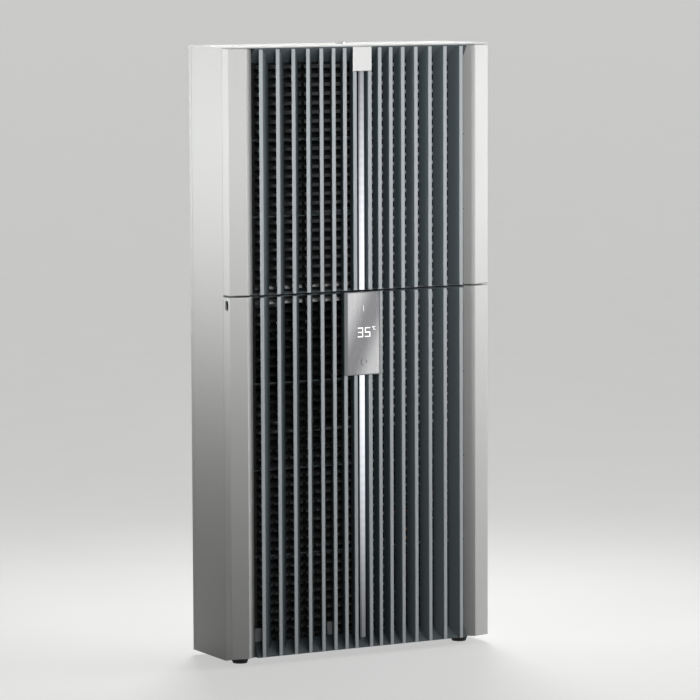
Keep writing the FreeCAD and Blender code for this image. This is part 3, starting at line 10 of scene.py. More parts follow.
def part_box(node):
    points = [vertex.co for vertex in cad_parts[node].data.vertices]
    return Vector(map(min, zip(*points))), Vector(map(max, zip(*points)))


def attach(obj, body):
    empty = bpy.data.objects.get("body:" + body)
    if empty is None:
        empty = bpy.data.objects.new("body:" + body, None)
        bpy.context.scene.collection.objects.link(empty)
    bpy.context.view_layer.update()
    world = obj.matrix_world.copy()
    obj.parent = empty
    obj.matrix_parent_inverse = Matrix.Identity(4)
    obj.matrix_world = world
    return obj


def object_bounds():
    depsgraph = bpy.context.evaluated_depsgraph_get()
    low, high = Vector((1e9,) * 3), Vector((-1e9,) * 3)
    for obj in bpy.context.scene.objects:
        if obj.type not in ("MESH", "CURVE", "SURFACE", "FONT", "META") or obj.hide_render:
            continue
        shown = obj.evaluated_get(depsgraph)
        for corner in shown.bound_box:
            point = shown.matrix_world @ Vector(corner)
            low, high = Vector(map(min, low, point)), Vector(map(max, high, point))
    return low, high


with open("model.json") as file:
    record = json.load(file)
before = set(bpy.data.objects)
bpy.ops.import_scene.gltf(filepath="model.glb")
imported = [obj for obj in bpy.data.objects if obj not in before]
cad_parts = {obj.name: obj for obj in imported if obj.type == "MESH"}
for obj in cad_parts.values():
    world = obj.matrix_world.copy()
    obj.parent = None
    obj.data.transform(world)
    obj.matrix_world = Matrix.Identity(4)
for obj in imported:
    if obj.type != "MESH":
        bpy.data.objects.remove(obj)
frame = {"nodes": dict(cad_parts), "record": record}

bl_info = {
    "name": "Enclosure cooling unit looks",
    "version": (1, 0, 0),
    "blender": (4, 5, 0),
    "location": "View3D > Sidebar > Cooling unit",
    "description": "Dresses the cooling unit's solids, adds its figures and fasteners, and sets the stage",
    "category": "Object",
}

MM = 0.001
CAD_BOX = [list(corner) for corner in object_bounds()]
LEFT, FRONT = CAD_BOX[0][:2]
TOP = CAD_BOX[1][2]

# Grain: how much wider its slow changes are, their share, where most noise values lie, and its relief
BROAD_GRAIN = 40
BROAD_SHARE = 0.4
NOISE_SPAN = (0.3, 0.7)
RELIEF_STRENGTH = 0.5
UNSTRETCHED = (1, 1, 1)

# Distance between two bands of a wave texture at scale 1
WAVE_LENGTH = math.pi / 10

# Drawn parts of the touch sign's ring, in degrees
SIGN_ARCS = ((-15, 45), (120, 265))

# A screw head's outline as shares of its radius and height, and its socket's floor as a share of the height
HEAD_OUTLINE = ((1.0, 0.0), (1.0, 0.45), (0.93, 0.75), (0.75, 1.0))
SOCKET_FLOOR = 0.35

# Half the floor's width and how far the camera sees, in metres, and the camera's sensor in millimetres
FLOOR_HALF = 120.0
VIEW_REACH = 500.0
SENSOR_WIDTH = 36.0

# Softboxes, with lengths in metres and beams in degrees
# One that isn't mirrored gives no highlight on gloss.
SOFTBOXES = (
    {"name": "key_softbox", "power": "key_power", "size": (1.0, 0.7), "beam": 70, "mirrored": True,
     "place": (2.3, -1.4, 0.75), "target": (0, 0, TOP * 0.7)},
    {"name": "edge_softbox", "power": "edge_power", "size": (0.8, 1.0), "beam": 70, "mirrored": True,
     "place": (2.4, -0.5, 1.1), "target": (0, 0, TOP * 0.7)},
    {"name": "side_softbox", "power": "side_power", "size": (0.65, 0.65), "beam": 48, "mirrored": False,
     "place": (-1.05, -0.12, 1.0), "target": (LEFT, 0, TOP * 0.86)},
    {"name": "front_softbox", "power": "front_power", "size": (0.6, 0.6), "beam": 40, "mirrored": False,
     "place": (-0.5, -2.2, 1.5), "target": (0, FRONT, TOP * 0.9)},
    {"name": "top_softbox", "power": "top_power", "size": (1.2, 1.2), "beam": 180, "mirrored": False,
     "place": (0.5, 0.5, 2.4), "target": (0, 0, TOP * 0.53)},
    {"name": "rear_softbox", "power": "rear_power", "size": (1.0, 1.0), "beam": 60, "mirrored": False,
     "place": (0.9, 1.8, 2.0), "target": (0, 0, TOP * 0.53)},
)


# Kinds of value that a user may change


def linear(code):
    """Turn an sRGB hex colour into the linear values that Blender mixes."""
    parts = [int(code[place:place + 2], 16) / 255 for place in (1, 3, 5)]
    return tuple(part / 12.92 if part <= 0.04045 else ((part + 0.055) / 1.055) ** 2.4 for part in parts)


def colour(name, description, code):
    """A colour, given as an sRGB hex value."""
    return FloatVectorProperty(name=name, description=description, default=linear(code),
                               subtype="COLOR", size=3, min=0.0, max=1.0)


def length(name, description, millimetres):
    """A length, given in millimetres."""
    return FloatProperty(name=name, description=description, default=millimetres * MM,
                         unit="LENGTH", min=0.0, precision=5)


def angle(name, description, degrees):
    """An angle, given in degrees."""
    return FloatProperty(name=name, description=description, default=math.radians(degrees), subtype="ANGLE")


def power(name, description, watts):
    """A lamp's power, given in watts."""
    return FloatProperty(name=name, description=description, default=watts, unit="POWER", min=0.0)


def level(name, description, brightness):
    """A brightness, where one is white."""
    return FloatProperty(name=name, description=description, default=brightness, min=0.0)


class CoolingUnitColours(bpy.types.PropertyGroup):
    """Colours of the finishes."""

    housing: colour("Housing", "Powder coat of the side, top and rear panels", "#CFD0CE")
    columns: colour("Columns", "Satin paint of the front columns", "#D6D7D5")
    lamellae: colour("Lamellae", "Moulded slate plastic of the blades", "#465054")
    trims: colour("Trims", "Silver lacquer on the front edges of the blades", "#B9BFC3")
    louvre: colour("Louvre", "Black plastic of the inner louvres", "#0D0E0F")
    clips: colour("Clips", "Grey plastic of the louvre clips", "#A9AAAD")
    light: colour("Light strip", "Light from the strips in the middle gap", "#F6F9FF")
    plate: colour("Top plate", "Gloss lacquer of the bare plate at the top", "#FAFAF9")
    # The lighter display corners are a painted reflection on the film. The darker middle is the film's tone
    # without it.
    display: colour("Display corners", "Lighter corners of the display's graded film", "#F2F2F4")
    display_dark: colour("Display middle", "Darker middle of the display's graded film", "#A3A3A6")
    bezel: colour("Bezel", "Anodised edge of the display", "#8C8F92")
    figures: colour("Figures", "Lit figures of the display", "#FFFFFF")
    signs: colour("Signs", "Printed touch sign on the display", "#4A4A4D")
    rubber: colour("Rubber", "Feet, seal and grommets", "#1B1B1C")
    plastic: colour("Black plastic", "Fans, pan, inlet and service port", "#1E1F21")
    zinc: colour("Zinc", "Galvanised inner sheets and fasteners", "#A4A7AA")
    nickel: colour("Nickel", "Bright nickel plate of the lifting bush", "#DCDDDE")
    fins: colour("Fin stock", "Aluminium of the coil fins", "#B9BCC0")
    copper: colour("Copper", "Drawn copper tube", "#B5714F")
    enamel: colour("Enamel", "Black enamel of the pressure vessels", "#0E0E10")
    casting: colour("Casting", "Die-cast motors and inverter box", "#8F9194")
    floor: colour("Floor", "Matt studio floor, as it sends light back to the unit", "#A8A8A7")
    surround: colour("Surround", "Pale floor and background, as the camera sees them", "#ECECEB")


class CoolingUnitSizes(bpy.types.PropertyGroup):
    """Sizes of the strips' light and of the pieces that are added to the solids."""

    light_core: length("Light core", "Distance from the display's middle that is fully lit", 50.0)
    light_reach: length("Light reach", "Distance from the display's middle where it has faded", 500.0)
    diode_pitch: length("Diode pitch", "Distance between the light diodes behind the strips", 14.0)
    figure_height: length("Figure height", "Height of the two figures", 14.7)
    figure_width: length("Figure width", "Width of one figure", 9.2)
    figure_gap: length("Figure gap", "Room between the two figures", 3.4)
    figure_stroke: length("Figure stroke", "Width of a figure's strokes", 1.35)
    figure_round: length("Figure rounding", "Rounding of a stroke's corners", 0.45)
    figure_shift: length("Figure shift", "How far the figures stand to the right of the middle", 0.6)
    figure_rise: length("Figure rise", "How far the marks stand over the window's middle", 1.7)
    figure_relief: length("Figure relief", "Thickness of the figures on the window", 0.12)
    unit_height: length("Unit mark height", "Height of the degree mark's letter", 5.0)
    unit_width: length("Unit mark width", "Width of the degree mark's letter", 3.5)
    unit_stroke: length("Unit mark stroke", "Width of the degree mark's strokes", 0.6)
    unit_gap: length("Unit mark gap", "Room between the figures and the degree ring", 3.2)
    unit_ring: length("Degree ring radius", "Outer radius of the degree ring", 0.9)
    unit_rise: length("Unit mark rise", "How far the degree mark stands over the figures' tops", 1.0)
    tick_rise: length("Tick place", "Height of the upper tick over the figures", 37.0)
    tick_height: length("Tick height", "Height of the upper tick", 9.0)
    tick_stroke: length("Tick stroke", "Width of the upper tick", 0.35)
    sign_drop: length("Sign place", "Depth of the touch sign under the figures", 45.8)
    sign_radius: length("Sign radius", "Radius of the touch sign", 5.4)
    sign_stroke: length("Sign stroke", "Width of the touch sign's strokes", 1.0)
    screw_radius: length("Screw head radius", "Radius of the rear panel's screw heads", 3.6)
    screw_height: length("Screw head height", "Height of the rear panel's screw heads", 2.0)
    screw_socket: length("Screw socket", "Half width of the screw's six-sided socket", 1.5)
    screw_inset: length("Screw inset", "Distance of the screws from the panel's long edges", 24.0)
    screw_margin: length("Screw margin", "Distance of the end screws from the panel's short edges", 96.0)
    screw_rows: IntProperty(name="Screw rows", description="Screws along each side of the rear panel",
                            default=6, min=2, max=12)
    pin_width: length("Pin width", "Width of a power pin", 4.0)
    pin_wall: length("Pin thickness", "Thickness of a power pin", 1.6)
    pin_pitch: length("Pin pitch", "Distance between power pins", 8.0)
    pin_length: length("Pin length", "Length of a power pin in its socket", 8.0)
    tongue_wall: length("Tongue thickness", "Thickness of the service socket's tongue", 2.2)
    tongue_height: length("Tongue height", "Height of the service socket's tongue", 9.0)
    tongue_length: length("Tongue length", "Length of the service socket's tongue", 6.0)
    contact_root: length("Contact root", "Depth of pins and tongue in their sockets' floors", 1.0)
    edge_round: length("Edge rounding", "Rounding of small added pieces", 0.3)


class CoolingUnitStage(bpy.types.PropertyGroup):
    """Camera and lamps."""

    camera_place: FloatVectorProperty(name="Camera place", description="Where the camera stands",
                                      default=(-2.8302, -5.2427, 1.0946), subtype="TRANSLATION",
                                      unit="LENGTH")
    camera_heading: angle("Camera heading", "Turn of the view to the right of straight on", 28.485)
    camera_tilt: angle("Camera tilt", "Downward tilt of the view", 6.015)
    camera_roll: angle("Camera roll", "Roll of the view", -0.213)
    camera_lens: FloatProperty(name="Lens", description="Focal length on the camera's sensor",
                               default=199.58, unit="CAMERA")
    key_power: power("Key lamp", "Power of the large softbox on the right", 4.0)
    edge_power: power("Edge lamp", "Power of the softbox that grazes from the right", 3.8)
    side_power: power("Side lamp", "Power of the gridded softbox at the upper left", 1.52)
    front_power: power("Front lamp", "Power of the gridded softbox in front", 1.3)
    top_power: power("Top lamp", "Power of the overhead softbox", 14.0)
    rear_power: power("Rear lamp", "Power of the softbox behind the unit", 8.0)
    ambient: level("Surround light", "Strength of the even light from all round", 0.03)
    backdrop: level("Backdrop", "Brightness of the pale background", 0.90)
    floor_show: level("Floor show", "Brightness of the pale floor, besides the lamps", 0.58)


# Tools for finishes


def add_node(tree, kind, settings=None, sockets=None, links=None):
    """Add a shader node with its settings, socket values and links."""
    node = tree.nodes.new(kind)
    for name, value in (settings or {}).items():
        setattr(node, name, value)
    for name, value in (sockets or {}).items():
        node.inputs[name].default_value = value
    for name, source in (links or {}).items():
        tree.links.new(source, node.inputs[name])
    return node


def new_finish(name, sockets=None):
    """A material with a surface shader whose constant values stand on its own sockets."""
    finish = bpy.data.materials.new(name)
    finish.use_nodes = True
    tree = finish.node_tree
    tree.nodes.clear()
    shader = add_node(tree, "ShaderNodeBsdfPrincipled", sockets=sockets)
    add_node(tree, "ShaderNodeOutputMaterial", links={"Surface": shader.outputs["BSDF"]})
    return finish, tree, shader


def toned(base, share=1.0):
    """The same colour, lighter or darker, with full opacity."""
    return tuple(min(1.0, part * share) for part in base) + (1.0,)


def grain(tree, shader, base, grain_mm, relief_mm, roughness, tone, stretch=UNSTRETCHED):
    """Surface grain of a real size: relief, and slight changes of tone and gloss.

    It gives back the colour and the normal, for finishes that add to them.
    """
    place = add_node(tree, "ShaderNodeTexCoord").outputs["Object"]
    if stretch != UNSTRETCHED:
        place = add_node(tree, "ShaderNodeMapping", sockets={"Scale": stretch},
                         links={"Vector": place}).outputs["Vector"]
    fine = add_node(tree, "ShaderNodeTexNoise", sockets={"Scale": 1 / (grain_mm * MM), "Detail": 3.0},
                    links={"Vector": place})
    broad = add_node(tree, "ShaderNodeTexNoise",
                     sockets={"Scale": 1 / (BROAD_GRAIN * grain_mm * MM), "Detail": 2.0},
                     links={"Vector": place})
    blend = add_node(tree, "ShaderNodeMix", {"data_type": "FLOAT"}, {"Factor": BROAD_SHARE},
                     {"A": fine.outputs["Fac"], "B": broad.outputs["Fac"]})
    tint = add_node(tree, "ShaderNodeMix", {"data_type": "RGBA"},
                    {"A": toned(base, 1 - tone), "B": toned(base, 1 + tone)},
                    {"Factor": blend.outputs["Result"]})
    gloss = add_node(tree, "ShaderNodeMapRange",
                     sockets={"From Min": NOISE_SPAN[0], "From Max": NOISE_SPAN[1],
                              "To Min": roughness[0], "To Max": roughness[1]},
                     links={"Value": blend.outputs["Result"]})
    bump = add_node(tree, "ShaderNodeBump",
                    sockets={"Strength": RELIEF_STRENGTH, "Distance": relief_mm * MM},
                    links={"Height": fine.outputs["Fac"]})
    tree.links.new(tint.outputs["Result"], shader.inputs["Base Color"])
    tree.links.new(gloss.outputs["Result"], shader.inputs["Roughness"])
    tree.links.new(bump.outputs["Normal"], shader.inputs["Normal"])
    return tint.outputs["Result"], bump.outputs["Normal"]


def grained(name, base, sockets=None, **look):
    """A finish that is made up of its colour, gloss and grain."""
    finish, tree, shader = new_finish(name, sockets)
    grain(tree, shader, base, **look)
    return finish


def seen_rays(tree):
    """One for rays that show the surroundings: to the camera, in gloss or through glass."""
    path = add_node(tree, "ShaderNodeLightPath").outputs
    gloss = add_node(tree, "ShaderNodeMath", {"operation": "MAXIMUM"},
                     links={0: path["Is Camera Ray"], 1: path["Is Glossy Ray"]})
    seen = add_node(tree, "ShaderNodeMath", {"operation": "MAXIMUM"},
                    links={0: gloss.outputs["Value"], 1: path["Is Transmission Ray"]})
    return seen.outputs["Value"]


def dress(finish, *nodes):
    """Give solids of the frame their finish."""
    for name in nodes:
        slots = frame["nodes"][name].data.materials
        slots.clear()
        slots.append(finish)


# Tools for pieces


def mesh_piece(name, form, finish, body):
    """Turn a built form into a piece that rides on a body."""
    bmesh.ops.recalc_face_normals(form, faces=form.faces)
    mesh = bpy.data.meshes.new(name)
    form.to_mesh(mesh)
    form.free()
    mesh.materials.append(finish)
    piece = bpy.data.objects.new(name, mesh)
    bpy.context.scene.collection.objects.link(piece)
    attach(piece, body)


def add_outline(form, outline, face_y, relief, rounding=0.0):
    """Raise a flat outline of (x, z) points from an upright face towards the front."""
    corners = [form.verts.new((x, face_y - relief, z)) for x, z in outline]
    face = form.faces.new(corners)
    raised = bmesh.ops.extrude_face_region(form, geom=[face])
    new_corners = [item for item in raised["geom"] if isinstance(item, bmesh.types.BMVert)]
    bmesh.ops.translate(form, verts=new_corners, vec=(0, relief, 0))
    if rounding:
        own = set(corners) | set(new_corners)
        upright = [edge for edge in form.edges if set(edge.verts) <= own
                   and abs(edge.verts[0].co.y - edge.verts[1].co.y) > relief / 2]
        bmesh.ops.bevel(form, geom=upright, offset=rounding, segments=3, profile=0.5, affect="EDGES")


def ring_arc(centre, radius, stroke, start, end, steps=10):
    """Outline of a stroke along part of a ring, angles in degrees."""
    turns = [math.radians(start + (end - start) * step / steps) for step in range(steps + 1)]
    near = radius - stroke
    outer = [(centre[0] + radius * math.cos(turn), centre[1] + radius * math.sin(turn)) for turn in turns]
    inner = [(centre[0] + near * math.cos(turn), centre[1] + near * math.sin(turn)) for turn in turns]
    return outer + inner[::-1]


def add_block(form, low, high, rounding):
    """A small block with rounded edges between two corners."""
    made = bmesh.ops.create_cube(form, size=1.0)
    middle = (low + high) / 2
    span = high - low
    for corner in made["verts"]:
        corner.co = middle + Vector(a * b for a, b in zip(corner.co, span))
    edges = {edge for corner in made["verts"] for edge in corner.link_edges}
    bmesh.ops.bevel(form, geom=list(edges), offset=rounding, segments=2, profile=0.5, affect="EDGES")


# Finishes of the housing and the covers


def powder_coated_steel(colours):
    """Baked powder on sheet steel: a fine orange-peel that softens highlights."""
    # The peel is about 0.5 mm on the real sheet and is drawn coarser so that it shows.
    return grained("powder_coated_steel", colours.housing, {"IOR": 1.5},
                   grain_mm=1.2, relief_mm=0.05, roughness=(0.40, 0.52), tone=0.035)


def satin_painted_abs(colours):
    """Painted plastic moulding: smoother than the sheet steel, with a satin gloss."""
    return grained("satin_painted_abs", colours.columns, {"IOR": 1.5},
                   grain_mm=0.9, relief_mm=0.02, roughness=(0.34, 0.44), tone=0.025)


def eroded_slate_abs(colours):
    """Slate plastic from a spark-eroded mould: an even fine matt grain."""
    return grained("eroded_slate_abs", colours.lamellae, {"IOR": 1.53},
                   grain_mm=0.7, relief_mm=0.04, roughness=(0.38, 0.5), tone=0.07)


def silver_lacquer(colours):
    """Silver lacquer on a plastic strip: a few metal flakes under a thin clear satin top."""
    return grained("silver_lacquer", colours.trims, {"Metallic": 0.2, "Coat Weight": 0.1},
                   grain_mm=0.5, relief_mm=0.01, roughness=(0.30, 0.40), tone=0.05)


def black_polyamide(colours):
    """Black glass-filled plastic of the grilles: matt, with faint flow marks."""
    return grained("black_polyamide", colours.louvre, {"IOR": 1.53},
                   grain_mm=1.5, relief_mm=0.05, roughness=(0.6, 0.78), tone=0.2)


def grey_polypropylene(colours):
    """Grey moulded clips with a waxy matt skin."""
    return grained("grey_polypropylene", colours.clips, {"IOR": 1.49},
                   grain_mm=1.0, relief_mm=0.03, roughness=(0.45, 0.6), tone=0.08)


def gloss_lacquer(colours):
    """Gloss lacquer on the bare plate, flat and clean with a faint waviness."""
    return grained("gloss_lacquer", colours.plate, {"Coat Weight": 0.4, "IOR": 1.5},
                   grain_mm=2.5, relief_mm=0.01, roughness=(0.18, 0.26), tone=0.02)


def opal_light_guide(colours, sizes, middle, painted_recess_shade=0.3, far_glow=0.04, ripple_low=0.9):
    """Opal acrylic strip lit from behind the display, so that it fades towards its far ends."""
    # The strip's base colour is darkened to a share of its light's colour. This is painted shade of the
    # recess it sits in.
    finish, tree, shader = new_finish("opal_light_guide", {
        "IOR": 1.49, "Roughness": 0.4, "Base Color": toned(colours.light, painted_recess_shade),
        "Emission Color": toned(colours.light)})
    place = add_node(tree, "ShaderNodeTexCoord").outputs["Object"]
    height = add_node(tree, "ShaderNodeSeparateXYZ", links={"Vector": place}).outputs["Z"]
    away = add_node(tree, "ShaderNodeMath", {"operation": "SUBTRACT"}, {1: middle}, {0: height})
    reach = add_node(tree, "ShaderNodeMath", {"operation": "ABSOLUTE"}, links={0: away.outputs["Value"]})
    fade = add_node(tree, "ShaderNodeMapRange", {"interpolation_type": "SMOOTHSTEP"},
                    {"From Min": sizes.light_core, "From Max": sizes.light_reach,
                     "To Min": 1.0, "To Max": far_glow},
                    {"Value": reach.outputs["Value"]})
    diodes = add_node(tree, "ShaderNodeTexWave", {"bands_direction": "Z"},
                      {"Scale": WAVE_LENGTH / sizes.diode_pitch}, {"Vector": place})
    ripple = add_node(tree, "ShaderNodeMapRange", sockets={"To Min": ripple_low, "To Max": 1.0},
                      links={"Value": diodes.outputs["Fac"]})
    glow = add_node(tree, "ShaderNodeMath", {"operation": "MULTIPLY"},
                    links={0: fade.outputs["Result"], 1: ripple.outputs["Result"]})
    tree.links.new(glow.outputs["Value"], shader.inputs["Emission Strength"])
    return finish


def half_mirrored_glass(colours, low, high, reflection_fade_start=0.1, reflection_fade_end=0.75):
    """Display window with a silver film behind its glass, and a painted reflection that makes it lighter
    towards two corners.
    """
    finish, tree, shader = new_finish("half_mirrored_glass", {"Metallic": 0.4, "Coat Weight": 0.5})
    # This grained colour is the tone of the painted reflection at the corners.
    corners, _ = grain(tree, shader, colours.display, grain_mm=0.25, relief_mm=0.004,
                       roughness=(0.20, 0.30), tone=0.04, stretch=(1, 1, 0.02))
    # The painted reflection runs along the diagonal from the upper left corner to the lower right one, and
    # is lightest at both of those corners.
    place = add_node(tree, "ShaderNodeTexCoord").outputs["Object"]
    from_middle = add_node(tree, "ShaderNodeVectorMath", {"operation": "SUBTRACT"},
                           {1: (low + high) / 2}, {0: place})
    painted_reflection_diagonal = add_node(tree, "ShaderNodeVectorMath", {"operation": "DOT_PRODUCT"},
                        {1: (1 / (high.x - low.x), 0, -1 / (high.z - low.z))},
                        {0: from_middle.outputs["Vector"]})
    reach = add_node(tree, "ShaderNodeMath", {"operation": "ABSOLUTE"},
                     links={0: painted_reflection_diagonal.outputs["Value"]})
    fade = add_node(tree, "ShaderNodeMapRange", {"interpolation_type": "SMOOTHSTEP"},
                    {"From Min": reflection_fade_start, "From Max": reflection_fade_end}, {"Value": reach.outputs["Value"]})
    film = add_node(tree, "ShaderNodeMix", {"data_type": "RGBA"}, {"A": toned(colours.display_dark)},
                    {"Factor": fade.outputs["Result"], "B": corners})
    tree.links.new(film.outputs["Result"], shader.inputs["Base Color"])
    return finish


def anodised_aluminium(colours):
    """Satin anodised frame of the display: fine draw lines along its height."""
    return grained("anodised_aluminium", colours.bezel, {"Metallic": 1.0}, grain_mm=0.3, relief_mm=0.006,
                   roughness=(0.26, 0.36), tone=0.05, stretch=(1, 1, 0.03))


def lit_figures(colours, mottle_mm=2, dimmest=1.0, brightest=1.25):
    """Light diodes behind white film: even bright strokes with a slight mottling."""
    finish, tree, shader = new_finish("lit_figures",
                                      {"Roughness": 0.5, "Emission Color": toned(colours.figures)})
    place = add_node(tree, "ShaderNodeTexCoord").outputs["Object"]
    mottle = add_node(tree, "ShaderNodeTexNoise", sockets={"Scale": 1 / (mottle_mm * MM)},
                      links={"Vector": place})
    glow = add_node(tree, "ShaderNodeMapRange", sockets={"To Min": dimmest, "To Max": brightest},
                    links={"Value": mottle.outputs["Fac"]})
    tree.links.new(glow.outputs["Result"], shader.inputs["Emission Strength"])
    return finish


def printed_signs(colours):
    """Grey screen print on glass: dull next to the window, with a slightly uneven edge of ink."""
    return grained("printed_signs", colours.signs,
                   grain_mm=0.4, relief_mm=0.005, roughness=(0.45, 0.6), tone=0.08)


# Finishes of the inside, the rear and the feet


def nitrile_rubber(colours):
    """Moulded rubber and foam: dull, with a dusty bloom."""
    return grained("nitrile_rubber", colours.rubber, {"IOR": 1.52, "Sheen Weight": 0.15},
                   grain_mm=1.2, relief_mm=0.08, roughness=(0.7, 0.9), tone=0.25)


def moulded_black_abs(colours):
    """Black moulded plastic of fans and sockets with a fine matt grain."""
    return grained("moulded_black_abs", colours.plastic, {"IOR": 1.53},
                   grain_mm=0.8, relief_mm=0.04, roughness=(0.36, 0.5), tone=0.15)


def galvanised_steel(colours, crystal_mm=7, darkest=0.82):
    """Hot-dip zinc on sheet: crystals a few millimetres across that catch the light differently."""
    finish, tree, shader = new_finish("galvanised_steel", {"Metallic": 0.9})
    tint, _ = grain(tree, shader, colours.zinc,
                    grain_mm=1.5, relief_mm=0.02, roughness=(0.34, 0.5), tone=0.05)
    place = add_node(tree, "ShaderNodeTexCoord").outputs["Object"]
    crystals = add_node(tree, "ShaderNodeTexVoronoi", sockets={"Scale": 1 / (crystal_mm * MM)},
                        links={"Vector": place})
    tone = add_node(tree, "ShaderNodeSeparateColor", links={"Color": crystals.outputs["Color"]})
    spangle = add_node(tree, "ShaderNodeMapRange", sockets={"To Min": darkest, "To Max": 1.0},
                       links={"Value": tone.outputs["Red"]})
    shade = add_node(tree, "ShaderNodeVectorMath", {"operation": "SCALE"},
                     links={0: tint, "Scale": spangle.outputs["Result"]})
    tree.links.new(shade.outputs["Vector"], shader.inputs["Base Color"])
    return finish


def zinc_plated_steel(colours):
    """Bright zinc on turned and pressed fasteners, with fine turning lines."""
    return grained("zinc_plated_steel", colours.zinc, {"Metallic": 1.0},
                   grain_mm=0.4, relief_mm=0.01, roughness=(0.22, 0.34), tone=0.06)


def nickel_plated_brass(colours):
    """Bright nickel on a turned brass bush: a clear gloss with faint turning marks."""
    return grained("nickel_plated_brass", colours.nickel, {"Metallic": 1.0},
                   grain_mm=0.5, relief_mm=0.005, roughness=(0.12, 0.2), tone=0.04)


def aluminium_fin_stock(colours, pitch_mm=2, groove_mm=0.4, groove_strength=0.6, gap=(0.15, 0.5),
                        painted_gap_shade=0.25):
    """Stack of thin bare aluminium fins 2 mm apart: bright edges, with painted shade darkening the gaps
    between them.
    """
    finish, tree, shader = new_finish("aluminium_fin_stock", {"Metallic": 0.8})
    tint, normal = grain(tree, shader, colours.fins,
                         grain_mm=1.0, relief_mm=0.02, roughness=(0.34, 0.5), tone=0.06)
    place = add_node(tree, "ShaderNodeTexCoord").outputs["Object"]
    stack = add_node(tree, "ShaderNodeTexWave", {"bands_direction": "X"},
                     {"Scale": WAVE_LENGTH / (pitch_mm * MM)}, {"Vector": place})
    # Painted shade darkens the gaps between the fins.
    edges = add_node(tree, "ShaderNodeMapRange",
                     sockets={"From Min": gap[0], "From Max": gap[1], "To Min": painted_gap_shade, "To Max": 1.0},
                     links={"Value": stack.outputs["Fac"]})
    shade = add_node(tree, "ShaderNodeVectorMath", {"operation": "SCALE"},
                     links={0: tint, "Scale": edges.outputs["Result"]})
    tree.links.new(shade.outputs["Vector"], shader.inputs["Base Color"])
    groove = add_node(tree, "ShaderNodeBump",
                      sockets={"Strength": groove_strength, "Distance": groove_mm * MM},
                      links={"Height": stack.outputs["Fac"], "Normal": normal})
    tree.links.new(groove.outputs["Normal"], shader.inputs["Normal"])
    return finish


def drawn_copper(colours):
    """Drawn copper tube: a soft metal gloss with patches of darker oxide."""
    return grained("drawn_copper", colours.copper, {"Metallic": 1.0},
                   grain_mm=1.2, relief_mm=0.01, roughness=(0.24, 0.42), tone=0.16)


def black_enamel(colours):
    """Stoved black enamel on pressed steel: glossy, slightly uneven."""
    return grained("black_enamel", colours.enamel, {"IOR": 1.5, "Coat Weight": 0.3},
                   grain_mm=2.5, relief_mm=0.04, roughness=(0.22, 0.34), tone=0.2)


def die_cast_aluminium(colours):
    """Die-cast aluminium, shot-blasted: grey with a fine pitted grain."""
    return grained("die_cast_aluminium", colours.casting, {"Metallic": 0.9},
                   grain_mm=0.9, relief_mm=0.05, roughness=(0.42, 0.58), tone=0.1)


# Operators


class COOLINGUNIT_OT_housing(bpy.types.Operator):
    """Coat the panels and inner sheets, and give the feet and the seal their rubber"""

    bl_idname = "cooling_unit.finish_housing"
    bl_label = "Finish the housing"

    def execute(self, context):
        colours = context.scene.cooling_unit_colours
        dress(powder_coated_steel(colours), "left_side_panel", "right_side_panel", "top_panel",
              "rear_panel")
        dress(nitrile_rubber(colours), "feet", "rear_seal", "compressor_grommets")
        dress(zinc_plated_steel(colours), "mount_inserts")
        dress(nickel_plated_brass(colours), "lifting_bush")
        dress(galvanised_steel(colours), "base_tray", "partition", "fan_bulkhead", "evaporator_inlet_ring",
              "evaporator_baffle")
        return {"FINISHED"}


class COOLINGUNIT_OT_covers(bpy.types.Operator):
    """Finish the front covers: columns, fanned lamellae, trims, louvres, clips and plate"""

    bl_idname = "cooling_unit.finish_covers"
    bl_label = "Finish the front covers"

    def execute(self, context):
        colours = context.scene.cooling_unit_colours
        dress(satin_painted_abs(colours), "upper_cover_frame", "lower_cover_frame")
        dress(eroded_slate_abs(colours), "upper_lamella_insert", "lower_lamella_insert")
        dress(silver_lacquer(colours), "upper_lamella_trims", "lower_lamella_trims")
        dress(black_polyamide(colours), "upper_louvre", "lower_louvre")
        dress(grey_polypropylene(colours), "louvre_clips")
        dress(gloss_lacquer(colours), "top_plate")
        return {"FINISHED"}


class COOLINGUNIT_OT_lights(bpy.types.Operator):
    """Light the strips in the middle gap, brightest next to the display"""

    bl_idname = "cooling_unit.light_strips"
    bl_label = "Light the strips"

    def execute(self, context):
        scene = context.scene
        low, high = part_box("display_bezel")
        middle = (low.z + high.z) / 2
        finish = opal_light_guide(scene.cooling_unit_colours, scene.cooling_unit_sizes, middle)
        dress(finish, "upper_light_strip", "lower_light_strip")
        return {"FINISHED"}


class COOLINGUNIT_OT_circuit(bpy.types.Operator):
    """Finish the coils, pipes, compressor, fans and electrics inside"""

    bl_idname = "cooling_unit.finish_circuit"
    bl_label = "Finish the inside"

    def execute(self, context):
        colours = context.scene.cooling_unit_colours
        dress(aluminium_fin_stock(colours), "condenser_fin_block", "evaporator_fin_block")
        dress(drawn_copper(colours), "condenser_bends", "evaporator_bends", "discharge_pipe",
              "suction_pipe", "liquid_pipe", "drier_pipe", "accumulator_elbow", "filter_drier",
              "expansion_valve")
        dress(black_enamel(colours), "compressor", "suction_accumulator")
        dress(die_cast_aluminium(colours), "condenser_fan_motor", "evaporator_fan_motor", "inverter_box")
        dress(moulded_black_abs(colours), "condenser_fan_frame", "condenser_fan_rotor",
              "evaporator_fan_rotor", "condensate_pan", "drain_tube", "power_inlet", "service_port")
        return {"FINISHED"}


